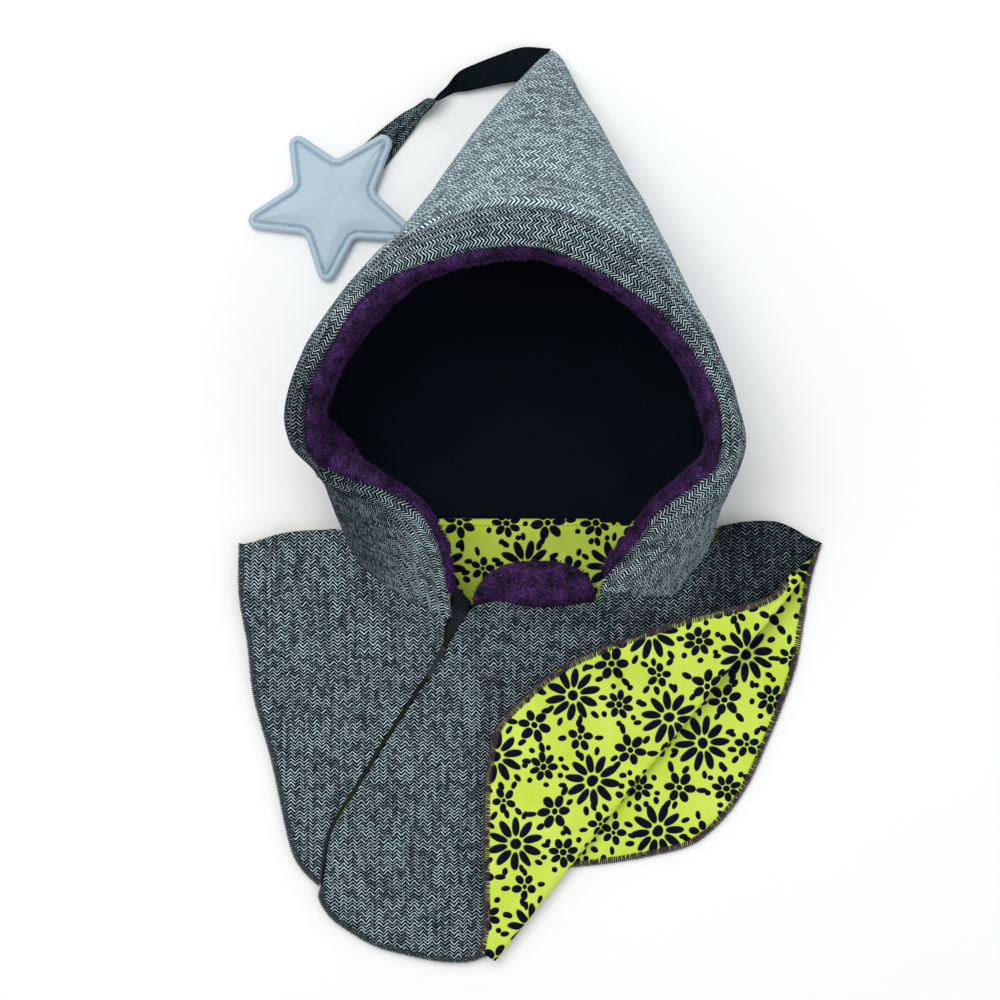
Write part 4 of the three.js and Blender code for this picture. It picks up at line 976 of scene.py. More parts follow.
def grown(name, source, tree, values):
    """Runs a node tree on a source object, which it removes, and keeps the result as a plain mesh object."""
    modifier = source.modifiers.new("grow", "NODES")
    modifier.node_group = tree
    keys = {item.name: item.identifier for item in tree.interface.items_tree if item.in_out == "INPUT"}
    for label, value in values.items():
        modifier[keys[label]] = value
    mesh = bpy.data.meshes.new_from_object(source.evaluated_get(bpy.context.evaluated_depsgraph_get()))
    source.modifiers.remove(modifier)
    bpy.data.objects.remove(source)
    if not mesh.polygons:
        raise RuntimeError(name + ": the node tree made nothing")
    mesh.name = name
    mesh.polygons.foreach_set("use_smooth", np.ones(len(mesh.polygons), bool))
    return linked(name, mesh)


def path_object(line):
    """A curve object along points in millimetres."""
    curve = bpy.data.curves.new("path", "CURVE")
    curve.dimensions = "3D"
    spline = curve.splines.new("POLY")
    spline.points.add(len(line) - 1)
    rows = np.column_stack([placed(line), np.ones(len(line))])
    spline.points.foreach_set("co", rows.astype(np.float32).ravel())
    return linked("path", curve)


def bar_object(line, radius, sides):
    """A thread or wire along a few points in millimetres, as a template for Geometry Nodes."""
    line = np.asarray(line, float)
    ahead = unit(np.gradient(line, axis=0))
    side = unit(np.cross(ahead, (0.3, 0.1, 1.0)))
    up = np.cross(side, ahead)
    angle = np.arange(sides) * 2 * math.pi / sides
    ring = side[:, None] * np.cos(angle)[None, :, None] + up[:, None] * np.sin(angle)[None, :, None]
    verts = (line[:, None] + ring * radius).reshape(-1, 3) / 1000
    faces = [(i * sides + j, (i + 1) * sides + j, (i + 1) * sides + (j + 1) % sides, i * sides + (j + 1) % sides)
             for i in range(len(line) - 1) for j in range(sides)]
    faces += [tuple(range(sides)), tuple(range(len(verts) - 1, len(verts) - sides - 1, -1))]
    mesh = bpy.data.meshes.new("thread")
    mesh.from_pydata(verts.tolist(), [], faces)
    mesh.update()
    obj = linked("thread", mesh)
    remade(obj)
    return obj


def row_of_pieces(name, line, wire, radius, material, slot, spacing, lean=0.0, uneven=0.1, seed=1, sides=5):
    """Bars bent along a wire, set out along a line in millimetres, such as stitches or teeth."""
    piece = bar_object(wire, radius, sides)
    obj = grown(name, path_object(line), material_of("path tree", path_tree), {
        "Piece": piece, "Spacing": spacing / 1000, "Lean": lean, "Uneven": uneven, "Seed": seed,
        "Material": material,
    })
    bpy.data.objects.remove(piece)
    return settle(obj, slot)


# Surfaces of the cloth, from the shape above.
VALLEYS = [  # soft valleys in the hood's cloth, seen from above: depth, half width and the line
    (2.2, 5.0, [(-137, 24), (-114, 14), (-99, 6), (-84, -1), (-71, -6)]),
    (2.0, 5.0, [(124, 11), (104, -3), (86, -14), (70, -23)]),
    (1.6, 9.0, [(-60, 215), (0, 232), (60, 205)]),
    (1.2, 12.0, [(-20, 262), (24, 270)]),
]


def hood_cloth(t, s, depth, from_rim=None):
    """Points of the hood's cloth, depth below its outer side, with its soft valleys and ripples. Where their
    distance from the rim is given, the cloth dips at the end of the rim's band."""
    base = hood_point(t, s)
    normal = hood_normal(t, s)
    if from_rim is not None:
        seen = base[..., :2] / (1 - base[..., 2:3] / VIEW_HEIGHT)
        upper = np.clip(normal[..., 2] * 3 + 0.5, 0, 1)
        sink = ripples(base, 46.0, 5) * 0.5
        for deep, half, line in VALLEYS:
            far = nearest(line, seen[..., 0], seen[..., 1])[0]
            sink = sink + deep * np.exp(-((far / half) ** 2)) * upper
        near_rim = smooth(s / 0.04)
        near_seam = smooth((1 - s) / 0.06)
        sink = sink + 1.5 * np.exp(-(((from_rim - BAND) / 2.4) ** 2)) - 0.6 * smooth(1 - np.abs(from_rim - 8) / 9)
        base = base - normal * (sink * near_rim * near_seam)[..., None]
    return base - normal * depth


def column_knots():
    """Knots of the rim's line on the unrolled hood, carried on straight down at both cheeks. The tweed's columns
    run along it, in straight panels between its knots."""
    t = np.linspace(0, 1, 1001)
    line = cloth_plan(t, 0 * t)[:, :2]
    down = (unit(np.gradient(line, axis=0)) * unit(line)).sum(-1)
    line = line[int(np.argmin(down[:450])) : 551 + int(np.argmax(down[550:]))]
    knots = line[np.linspace(0, len(line) - 1, 14).astype(int)]
    return np.vstack([knots[0] + unit(knots[0]) * 250, knots, knots[-1] + unit(knots[-1]) * 250])


def column_panel(plan, knots):
    """Which panel each point of the unrolled hood belongs to."""
    run = np.diff(knots, axis=0)
    d = plan.reshape(-1, 1, 2) - knots[:-1]
    share = np.clip((d * run).sum(-1) / (run * run).sum(-1), 0, 1)
    return np.linalg.norm(d - share[..., None] * run, axis=-1).argmin(1).reshape(plan.shape[:-1])


def column_uv(plan, panel, knots):
    """Place on the cloth along the columns and across them, a little coarser than on the cape, since the hood's
    cloth is seen at a slant."""
    run = np.diff(knots, axis=0)
    lengths = np.linalg.norm(run, axis=1)
    before = np.concatenate([[0], np.cumsum(lengths)[:-1]])
    way = (run / lengths[:, None])[panel]
    d = plan - knots[panel]
    across = way[..., 0] * d[..., 1] - way[..., 1] * d[..., 0]
    return np.stack([before[panel] + (way * d).sum(-1), across], -1) * 0.75


LIP_ROWS = 10
BAND_ROWS = 8


def hood_rows(t, rows):
    """Shares from the rim to the back seam for each column: a band beside the rim, then on to the seam."""
    reach = hood_point(t, 0)
    probe = np.linspace(0, 0.5, 80)
    grid = hood_point(t[:, None], probe[None, :])
    far = np.linalg.norm(grid - reach[:, None], axis=-1)
    end = np.array([np.interp(BAND, far[i], probe) for i in range(len(t))])
    band = end[:, None] * np.linspace(0, 1, BAND_ROWS + 1)[None, 1:]
    rest = np.linspace(0, 1, rows + 1)[1:]
    return np.concatenate([band, end[:, None] + (1 - end[:, None]) * rest[None, :]], 1)


def close_seam(grid):
    """Joins the left and the right half of a hood grid along its last row."""
    half = grid.shape[0] // 2
    grid[half + 1 :, -1] = grid[: grid.shape[0] - half - 1, -1][::-1]
    return grid


def mark_painted_light(obj, value):
    """Stores painted light and shade for the tweed at each point: 1 lightens it as painted light, -1 darkens it as
    painted shade.
    """
    layer = obj.data.attributes.new("brushed", "FLOAT", "POINT")
    co = np.zeros(len(obj.data.vertices) * 3)
    obj.data.vertices.foreach_get("co", co)
    co = co.reshape(-1, 3) * 1000 - (0, ORIGIN_BELOW_NECK, 0)
    layer.data.foreach_set("value", np.asarray(value(co), np.float32))


def hood_painted_light(co):
    """Painted light on the cone's cloth; less of it on the rim's band, the cheeks and the neck, and painted shade on
    the left cheek, which is darkest.
    """
    rim = hood_point(np.linspace(0, 1, 101), 0)
    far = np.concatenate([np.linalg.norm(part[:, None] - rim, axis=-1).min(1) for part in np.array_split(co, 40)])
    cone = smooth((far - 17) / 5) * smooth((co[:, 1] - 15) / 90)
    left = smooth((-co[:, 0] - 65) / 45) * smooth((130 - co[:, 1]) / 60)
    return 1.1 * cone - 1.1 * left * (1 - 0.6 * cone) - 0.1


def front_painted_light(co):
    """Painted shade on the fronts' cloth, darker towards the right shoulder."""
    return -0.3 - 0.35 * smooth((co[:, 0] + 60) / 60) - 0.8 * smooth((co[:, 0] - 90) / 40)


def lip_turn(t):
    """How far the tweed goes round the roll before the plush takes over."""
    return np.radians(lerp(52, 70, smooth((0.5 - np.abs(t - 0.5)) / 0.1)))


def rim_section(t, lip):
    """Points of the rolled rim for each t: from its inner lip over the roll to the start of the cloth."""
    rim = rim_frame(t)
    start, normal, over, size = (part[:, None] for part in rim)
    turn = lip_turn(t)[:, None] * (1 - np.arange(lip) / lip)[None, :]

    def at(depth):
        radius = RIM_ROLL - depth / size[..., 0]
        return rim_point((start, normal, over, size), radius * np.sin(turn), RIM_ROLL - radius * np.cos(turn))

    return at, turn * RIM_ROLL * size[..., 0]


def build_hood_tweed(material):
    """The hood's outer cloth with its rolled rim, joined along its back seam."""
    columns, rows = 300, 110
    t = np.linspace(0, 1, columns + 1)
    shares = hood_rows(t, rows)
    lip_at, lip_length = rim_section(t, LIP_ROWS)
    tt = np.broadcast_to(t[:, None], shares.shape)
    from_rim = np.linalg.norm(hood_point(tt, shares) - hood_point(t, 0)[:, None], axis=-1)

    def side(depth):
        first = hood_cloth(t, np.zeros_like(t), depth)[:, None]
        return close_seam(np.concatenate([lip_at(depth), first, hood_cloth(tt, shares, depth, from_rim)], 1))

    # the roll and the band beside it have columns along the rim; past the band they follow the panels
    plan = np.concatenate([cloth_plan(t, np.zeros_like(t))[:, None], cloth_plan(tt, shares)], 1)[..., :2]
    knots = column_knots()
    panel = column_panel(plan, knots)
    band = np.concatenate([-lip_length, np.linspace(0, BAND, BAND_ROWS + 1)[None].repeat(columns + 1, 0)], 1)
    band_uv = np.stack([np.broadcast_to(arc(hood_point(t, 0))[:, None], band.shape), band], -1)
    uv = np.concatenate([band_uv, column_uv(plan, panel, knots)[:, BAND_ROWS + 1 :]], 1)
    faces = quads(columns, uv.shape[1] - 1)
    corner = uv.reshape(-1, 2)[faces]
    past_band = faces[:, 0] % uv.shape[1] >= LIP_ROWS + BAND_ROWS
    body = faces[past_band]
    place = body // uv.shape[1] * plan.shape[1] + body % uv.shape[1] - LIP_ROWS
    one_panel = panel.reshape(-1)[place[:, :1]].repeat(4, 1)
    corner[past_band] = column_uv(plan.reshape(-1, 2)[place], one_panel, knots)
    obj = sheet_mesh("hood_tweed", side(0), side(TWEED), uv, material, HOOD_MIDDLE, corner, True)
    remade(obj, 2e-5)
    mark_painted_light(obj, hood_painted_light)
    return obj


def front_grid(patch, columns, rows, over, left=0.0, right=1.0):
    """Grid of points of a front panel."""
    t = np.linspace(left, right, columns + 1)[:, None]
    s = np.linspace(0, 1, rows + 1)[None, :]
    t, s = np.broadcast_arrays(t, s)
    return front_at(patch_point(patch, t, s), over)


def fold_grid(over, turns, beyond, rows):
    """The turned-over corner: round the fold, then back over the panel."""
    s = np.linspace(0, 1, rows + 1)
    start = fold_start(s)[None]
    turn = (np.arange(1, turns + 1) / turns * math.pi)[:, None, None]
    bend = start + FOLD_NORMAL * (FLAP_TURN - over) * np.sin(turn)
    high = front_height(start[..., 0], start[..., 1])
    bend_z = high + FLAP_TURN - (FLAP_TURN - over) * np.cos(turn[..., 0])
    share = (np.arange(1, beyond + 1) / beyond)[:, None, None]
    width = flap_width(s * FOLD_LENGTH)[None, :, None]
    lie = start - FOLD_NORMAL * width * share
    slack = smooth(share[..., 0] * 4) * (0.7 + 0.7 * ripples(lie, 60.0, 11))
    lie_z = front_height(lie[..., 0], lie[..., 1]) + 2 * FLAP_TURN - over + np.maximum(slack, 0)
    grid = np.concatenate([points(bend[..., 0], bend[..., 1], bend_z), points(lie[..., 0], lie[..., 1], lie_z)])
    far = np.concatenate([turn[..., 0] * FLAP_TURN + 0 * s, (width * share)[..., 0] + math.pi * FLAP_TURN])
    cut = start[0] + FOLD_NORMAL * far[..., None]
    return grid, cut[..., :2]


RIGHT_COLUMNS = 120
RIGHT_ROWS = 160
FOLD_TURNS = 14
FLAP_STEPS = 64


def front_right_sheet(name, low, high, material):
    """The right front panel with its turned-over corner as one sheet."""
    s_rows = int(RIGHT_ROWS * SHOULDER_SHARE)
    fold_rows = RIGHT_ROWS - s_rows
    start = 0.0 if low else 0.012  # the lining ends short of the zip
    w, fw, steps = RIGHT_ROWS + 1, fold_rows + 1, FOLD_TURNS + FLAP_STEPS
    base = (RIGHT_COLUMNS + 1) * w

    def at(i, j):
        return RIGHT_COLUMNS * w + s_rows + j if i == 0 else base + (i - 1) * fw + j

    def side(over):
        panel = front_grid(RIGHT_PATCH, RIGHT_COLUMNS, RIGHT_ROWS, over, start)
        flap, cut_at = fold_grid(over, FOLD_TURNS, FLAP_STEPS, fold_rows)
        return (np.vstack([panel.reshape(-1, 3), flap.reshape(-1, 3)]),
                np.vstack([panel.reshape(-1, 3)[:, :2], cut_at.reshape(-1, 2)]))

    faces = quads(RIGHT_COLUMNS, RIGHT_ROWS).tolist()
    faces += [[at(i, j), at(i + 1, j), at(i + 1, j + 1), at(i, j + 1)]
              for i in range(steps) for j in range(fold_rows)]
    loop = [i * w for i in range(RIGHT_COLUMNS + 1)] + [RIGHT_COLUMNS * w + j for j in range(1, s_rows + 1)]
    loop += [at(i, 0) for i in range(1, steps + 1)] + [at(steps, j) for j in range(1, fw)]
    loop += [at(i, fold_rows) for i in range(steps - 1, 0, -1)]
    loop += [i * w + RIGHT_ROWS for i in range(RIGHT_COLUMNS, -1, -1)] + list(range(RIGHT_ROWS - 1, 0, -1))
    (top, plan), (below, _) = side(high), side(low)
    return closed_sheet(name, top, below, np.array(faces), loop, upright(plan), material,
                        judged=RIGHT_COLUMNS * RIGHT_ROWS)


def upright(xy):
    """Place on the cloth with the tweed's columns upright."""
    return np.stack([xy[..., 1], xy[..., 0]], -1)


def front_left_sheet(name, low, high, material):
    """The left front panel's sheet."""
    end = 1.0 if low else 0.985  # the lining ends short of the zip
    upper, lower = (front_grid(LEFT_PATCH, 90, 120, over, 0.0, end) for over in (high, low))
    return sheet_mesh(name, upper, lower, upright(upper), material)


def back_sheet(name, low, high, material):
    """The cape's back: flat on the table. The printed side's upper edge is turned up over the hood lining's."""
    t = np.linspace(0, 1, 161)[:, None]
    s = np.linspace(0, 1, 121)[None, :]
    t, s = np.broadcast_arrays(t, s)
    at = patch_point(BACK_PATCH, t, s)
    printed_side = high > 2
    lift = np.maximum(0, ripples(at, 55.0, 21)) * 0.8 * smooth(s * 6) * printed_side
    middle = smooth((BACK_NECK - 4 - np.abs(at[..., 0])) / 12)
    up = smooth((at[..., 1] + 22) / 19) * middle
    inset = lerp(5.0, 0.0, middle) * (1 - s) ** 6 * smooth((np.abs(at[..., 0]) - 90) / 30)
    # both sides of the back climb to the hood's neck edge at the foot of each cheek
    cheek = np.interp(np.abs(at[..., 0]), [62, 70, 86, 98, 106, 110, 122], [0, 2, 9, 20, 28, 28, 0])
    climb = smooth((at[..., 1] + 24) / 21)
    at = at + points(0 * up, 3.4 * up * printed_side + climb * np.minimum(cheek, 3) - inset, 0 * up)
    upper, lower = at.copy(), at.copy()
    rise = lift + 4.6 * up * printed_side + climb * cheek
    upper[..., 2] = high + rise
    lower[..., 2] = low + rise
    return sheet_mesh(name, upper, lower, upright(upper), material)


def rim_plush_sections(count=280):
    """Closed sections of the plush facing: from inside the tweed's lip round the roll, then down inside."""
    t = np.linspace(0.012, 0.988, count)
    rim = rim_frame(t)
    full = smooth((0.5 - np.abs(t - 0.5)) / 0.14)
    wide = 1 + 0.35 * smooth(1 - np.abs(t - 0.27) / 0.14)
    start = lip_turn(t)
    end = np.radians(lerp(128, 150, full))
    face, back = [], []
    for share in np.linspace(0, 1, 13):
        turn = lerp(start - 0.12, end, share)
        proud = 2.3 * smooth(share * 5) + (1.2 * wide + 2.2 * (1 - full)) * math.sin(share * math.pi)
        proud = proud + 4.5 * smooth(1 - np.abs(t - 0.2) / 0.09) * math.sin(share * math.pi * 0.85)
        for rows, radius in ((face, 8.0 + proud), (back, 5.2 + 0 * t)):
            rows.append((radius * np.sin(turn), RIM_ROLL - radius * np.cos(turn)))
    reach = lerp(3.0, 18.5, full)
    for share in np.linspace(0.15, 1, 8):
        over = lerp(face[12][0], -reach, share)
        deep = lerp(face[12][1], lerp(17.0, 23.5 + PLUSH * 0.8, full), math.sin(share * math.pi / 2))
        face.append((over, deep + 1.5 * wide * math.sin(share * math.pi)))
        back.append((over, lerp(back[12][1], deep - 4.2 * lerp(1, 0.4, share), min(1, share * 2.5))))
    grid = np.stack([rim_point(rim, *row) for row in face + back[::-1]], 1)
    ease = np.exp(-((np.arange(-8, 9) / 4.0) ** 2))
    padded = np.concatenate([grid[:1].repeat(8, 0), grid, grid[-1:].repeat(8, 0)])
    grid = sum(padded[k : k + count] * ease[k] for k in range(17)) / ease.sum()
    bump = ripples(grid, 34.0, 31) * 0.9 + ripples(grid, 13.0, 32) * 0.35
    bump = bump * np.concatenate([smooth(np.arange(21) / 5), np.zeros(21)])[None, :]
    middle = grid.mean(1, keepdims=True)
    return grid + unit(grid - middle) * bump[..., None]


def lining_grid(depth, columns=200, rows=70):
    """Points of the hood's lining: from under the rim's plush in to the back seam, clear of the tweed."""
    rim_line = hood_point(np.linspace(0, 1, 101), 0)
    share = np.linspace(0, 1, columns + 1)
    probe = np.linspace(0, 0.6, 90)

    def from_rim(at):
        return np.linalg.norm(at[..., None, :] - rim_line, axis=-1).min(-1)

    places = np.zeros((columns + 1, rows + 1, 2))
    for i, part in enumerate(share):
        margin = lerp(0.035, 0.006, np.linspace(0, 1, rows + 1))
        t = margin + (1 - 2 * margin) * part
        size = rim_frame(t[:1])[3][0, 0]
        far = from_rim(hood_point(t[0], probe))
        start = float(np.interp(28 * size, far, probe))
        places[i, :, 0] = t
        places[i, :, 1] = start + (1 - start) * np.linspace(0, 1, rows + 1)
    t, s = places[..., 0], places[..., 1]
    flat_t, flat_s = t.ravel(), s.ravel()
    at = hood_point(flat_t, flat_s)
    normal = hood_normal(flat_t, flat_s)
    rim = rim_frame(flat_t)
    size = rim[3][:, 0]
    far = from_rim(at) / size
    below = rim_point(rim, -far, 22.5 + depth / size)
    near = (far - 28) / 34
    bulge = np.where(flat_s < 1, 22.5 * size * np.exp(-near * near), 0)
    cloth = at - normal * (TWEED + LINING_GAP + depth + bulge * 0.85)[:, None]
    share = smooth((far - 28) / 14)[:, None]
    out = below + (cloth - below) * share
    to_tip = np.linalg.norm(at - np.array([15.0, TIP_Y, TIP_Z]), axis=1)
    pull = (np.clip(1 - to_tip / 60, 0, 1) ** 2)[:, None]
    out = out + (np.array([14.0, TIP_Y - 25, TIP_Z + 7]) - out) * pull
    edge = smooth(1 - np.minimum(flat_t, 1 - flat_t) / 0.06) * smooth((flat_s - 0.45) / 0.2)
    out[:, 1] -= 6.0 * edge
    return close_seam(out.reshape(columns + 1, rows + 1, 3))


def chin_sections():
    """Closed sections of the chin guard: a flat half-round pad that stands out behind the front neckline."""
    across = np.linspace(-0.99, 0.99, 81)
    reach = 31 * (1 - np.abs(across) ** 2.3) ** 0.48
    x = 3.6 + 41 * across
    foot = -59 + 3 * smooth(across)
    root = under(x, foot, 26.3)
    tip = under(x, foot + 1 + reach, 31.3)
    middle, half = (root + tip) / 2, (tip - root) / 2
    out = []
    for angle in np.linspace(0, 2 * math.pi, 25)[:-1]:
        thick = 2.5 * math.sin(angle) * np.minimum(1, reach / 9)
        crown = 1.4 * max(0, math.sin(angle)) * np.sin(np.clip(reach / 31, 0, 1) * math.pi / 2)
        out.append(middle + half * math.cos(angle) + points(0 * x, 0 * x, thick + crown))
    grid = np.stack(out, 1)
    grid[..., 2] += ripples(grid, 18.0, 41) * 0.5
    return grid


def strap_sections():
    """Closed sections of the strap between its two edges, seen from above."""
    near = np.array([under(*row[0]) for row in STRAP])
    far = np.array([under(*row[1]) for row in STRAP])
    steps = np.linspace(0, len(STRAP) - 1, 140)
    near_fine, far_fine = uniform_spline(near, steps), uniform_spline(far, steps)
    across = unit(near_fine - far_fine)
    way = unit(np.gradient((near_fine + far_fine) / 2, axis=0))
    thick = unit(np.cross(way, across)) * STRAP_THICKNESS / 2
    ladder = [(0.0, 0.55), (0.06, 1), (0.5, 1.15), (0.94, 1), (1.0, 0.55)]
    ladder += [(share, -size) for share, size in ladder[::-1]]
    return np.stack([lerp(near_fine, far_fine, share) + thick * size for share, size in ladder], 1)


def uniform_spline(values, steps):
    """Catmull-Rom through equally spaced rows of values."""
    v = np.concatenate([[2 * values[0] - values[1]], values, [2 * values[-1] - values[-2]]])
    i = np.clip(steps.astype(int), 0, len(values) - 2)
    t = (steps - i)[:, None]
    a, b, c, d = v[i], v[i + 1], v[i + 2], v[i + 3]
    return 0.5 * (2 * b + (c - a) * t + (2 * a - 5 * b + 4 * c - d) * t**2 + (3 * b - a - 3 * c + d) * t**3)


def star_outline():
    """Star outline in its own plane, round its middle: five blunt arms, each of its own length."""
    line = []
    for k in range(5):
        angle = math.radians(STAR["turn"] + 72 * k)
        along = np.array([math.cos(angle), math.sin(angle)])
        aside = np.array([-along[1], along[0]])
        notch = [STAR_WAIST * math.cos(math.radians(36)), STAR_WAIST * math.sin(math.radians(36))]
        round_at = STAR_ARMS[k] - STAR_TIP
        way = math.atan2(notch[1], round_at - notch[0])
        gap = math.hypot(notch[1], round_at - notch[0])
        lean = math.pi / 2 - (way - math.asin(STAR_TIP / gap))
        tip = [(round_at + STAR_TIP * math.cos(a), STAR_TIP * math.sin(a)) for a in np.linspace(-lean, lean, 17)]
        side = np.linspace(0.06, 0.97, 14)[:, None]
        before = np.array([notch[0], -notch[1]]) * (1 - side) + np.array(tip[0]) * side
        after = np.array(tip[-1]) * side[::-1] + np.array(notch) * (1 - side[::-1])
        for a, b in np.vstack([before, tip, after]):
            line.append(along * a + aside * b)
    return np.array(line)


def star_ring(outline, inset):
    """The outline moved in by inset; further in than the groove it shrinks towards the middle."""
    limit = STAR_GROOVE + 1
    way = unit(np.roll(outline, -1, 0) - np.roll(outline, 1, 0))
    ring = outline + np.column_stack([-way[:, 1], way[:, 0]]) * min(inset, limit)
    return ring * (1 - max(0, inset - limit) / 18)


def star_height(inset):
    """Height of the star's upper side over its middle plane by distance from its edge: a rolled edge, a stitched
    groove and a padded middle."""
    edge = 2.5 * math.sqrt(1 - (1 - min(inset / 2.4, 1)) ** 2)
    groove = 1.5 * math.exp(-(((inset - STAR_GROOVE) / 0.85) ** 2))
    return edge + 1.0 * float(smooth((inset - 5) / 9)) - groove


def star_rings(outline):
    """Rings of the star's upper side and of its lower side, from the edge in."""
    edge_waves = ripples(np.column_stack([outline, 0 * outline[:, 0]]), 7.0, 51)
    middle = STAR_THICKNESS / 2
    top, low = [], []
    for inset in STAR_INSETS:
        ring = star_ring(outline, inset)
        rise = star_height(inset)
        pucker = 0.28 * edge_waves * math.exp(-(((inset - STAR_GROOVE) / 3) ** 2))
        crease = 0.5 * ripples(np.column_stack([ring, 0 * ring[:, 0]]), 40.0, 52) * min(1, inset / 12)
        top.append(star_place(ring, middle + np.minimum(rise + pucker + crease, 3.5)))
        low.append(star_place(ring, middle - 2.25 * min(max(rise / 2.5, 0), 1)))
    return top, low


def star_mesh(outline, material):
    """The star's closed pad: its rings and a point in the middle of each side."""
    top, low = star_rings(outline)
    crown, foot = (star_place(np.zeros((1, 2)), STAR_THICKNESS / 2 + rise) for rise in (3.2, -2.25))
    verts = np.vstack([*top, *low[1:], crown, foot])
    n, rings = len(outline), len(top)
    faces = []
    for i in range(n):
        j = (i + 1) % n
        for k in range(rings - 1):
            faces.append((k * n + i, k * n + j, (k + 1) * n + j, (k + 1) * n + i))
            a = 0 if k == 0 else (rings + k - 1) * n
            b = (rings + k) * n
            faces.append((a + i, b + i, b + j, a + j))
        faces.append(((rings - 1) * n + i, (rings - 1) * n + j, len(verts) - 2))
        faces.append(((2 * rings - 2) * n + j, (2 * rings - 2) * n + i, len(verts) - 1))
    obj = mesh_object("star_pad", verts, faces, materials=[material])
    remade(obj)
    return obj


def star_place(flat_points, height):
    """Star points from its own plane into the frame."""
    turn = math.radians(STAR["lean_turn"])
    axis = np.array([math.sin(turn), -math.cos(turn), 0.0])
    c, s = math.cos(STAR["lean"]), math.sin(STAR["lean"])
    p = np.column_stack([flat_points, np.broadcast_to(height, len(flat_points))])
    turned = p * c + np.cross(axis, p) * s + axis * (p @ axis)[:, None] * (1 - c)
    middle = under(STAR["x"], STAR["y"], 0)
    return turned + np.array([middle[0], middle[1], STAR["lift"]])


def cut(obj, held, rests_on, with_pieces=(), measured=True):
    """Does nothing: the piece, how it is held, what it rests on, its pieces and whether it is measured are not used."""


def colour_property(name, description, default):
    return bpy.props.FloatVectorProperty(
        name=name, description=description, subtype="COLOR", size=4, min=0.0, max=1.0, default=linear(default)
    )


def size_property(name, description, default):
    return bpy.props.FloatProperty(name=name, description=description, default=default, min=0.0001, unit="LENGTH")


class HoodSizes(bpy.types.PropertyGroup):
    """Sizes of the hood's cloth and trim"""

    column: size_property("Herringbone column", "Width of one column of the tweed's weave", 0.0029)
    pick: size_property("Herringbone pick", "Step between two light picks of the tweed", 0.0023)
    print_repeat: size_property("Print repeat", "Width of one repeat of the lining's print", 0.058)
    pile: size_property("Pile height", "Length of the plush's pile", 0.0034)
    hair: size_property("Pile tuft", "Radius of one tuft of the plush's pile", 0.00042)
    stitch: size_property("Edging stitch", "Step between two stitches of the edging", 0.00135)
    tooth: size_property("Zip tooth", "Step between two teeth of the zip", 0.0015)
    star_stitch: size_property("Star stitch", "Step between two stitches of the star's groove", 0.0033)


class HoodColours(bpy.types.PropertyGroup):
    """Colours of the hood's cloth and trim"""

    dark_yarn: colour_property("Dark yarn", "Warp of the tweed", "#020c13")
    light_yarn: colour_property("Light yarn", "Picks of the tweed", "#d3ecf5")
    pile_ground: colour_property("Pile ground", "Plush between its tufts", "#090815")
    # Painted highlight colour of the plush's pile.
    pile_painted_highlight: colour_property("Pile tip", "Plush where its tufts catch the light", "#633c80")
    print_ground: colour_property("Print ground", "Ground of the lining's print", "#d0e862")
    # The print's ground under painted shade.
    print_shade: colour_property("Print ground, worn", "The print's ground where it is dull", "#c3dc44")
    print_ink: colour_property("Print ink", "Ink of the lining's print", "#0d0f1e")
    star: colour_property("Star", "The star's satin", "#adc2d0")
    star_shade: colour_property("Star, dull", "The star's satin where it is dull", "#a1b7c7")


def sizes():
    return bpy.context.scene.hood_sizes


def colours():
    return bpy.context.scene.hood_colours


def tweed():
    return material_of("tweed", tweed_material, sizes(), colours())


def plush():
    return material_of("plush", plush_material, colours())


def printed():
    return material_of("print", print_material, sizes(), colours())


def pile_over(name, patch, slot, lean, density, seed=3):
    """Grows the plush's pile over an open grid of points that face the way the grid turns."""
    source = mesh_object(name + "_ground", patch.reshape(-1, 3), quads(patch.shape[0] - 1, patch.shape[1] - 1))
    obj = grown(name, source, material_of("pile tree", pile_tree), {
        "Density": density, "Height": sizes().pile, "Thickness": sizes().hair, "Lean": lean, "Seed": seed,
        "Material": plush(),
    })
    return settle(obj, slot)


def edge_stitches(name, line, half, material, seed):
    """Overlock thread wrapped round a cloth's edge. The line runs at mid thickness with the cloth on its right."""
    wrap = [(-0.5, -3.4, half * 0.9), (0.0, -1.36, half + 0.15), (0.4, 0.1, half), (0.5, 0.75, 0),
            (0.2, 0.1, -half), (-0.4, -2.38, -half)]
    row_of_pieces(name, line, wrap, 0.6, material, "tweed", sizes().stitch * 1000, 0.15, 0.12, seed)


def run_stitches(name, line, length, spacing, radius, material, slot, seed=1):
    """A row of running stitches along a line."""
    wire = [(-length / 2, 0, -0.35), (-length / 4, 0, 0.12), (length / 4, 0, 0.12), (length / 2, 0, -0.35)]
    row_of_pieces(name, line, wire, radius, material, slot, spacing, 0.0, 0.05, seed)


def thread(kind, ground, light):
    return material_of(kind + " thread", thread_material, "polyester thread, " + kind, ground, light)


class HOOD_OT_camera(bpy.types.Operator):
    """Sets the camera straight over the hood"""

    bl_idname = "hood.camera"
    bl_label = "Camera"

    def execute(self, context):
        data = bpy.data.cameras.new("overhead camera")
        data.lens = CAMERA_LENS
        data.sensor_width = 36
        data.clip_start = 0.05
        data.clip_end = 20
        camera = linked("overhead camera", data)
        camera.location = CAMERA_PLACE
        context.scene.camera = camera
        return {"FINISHED"}


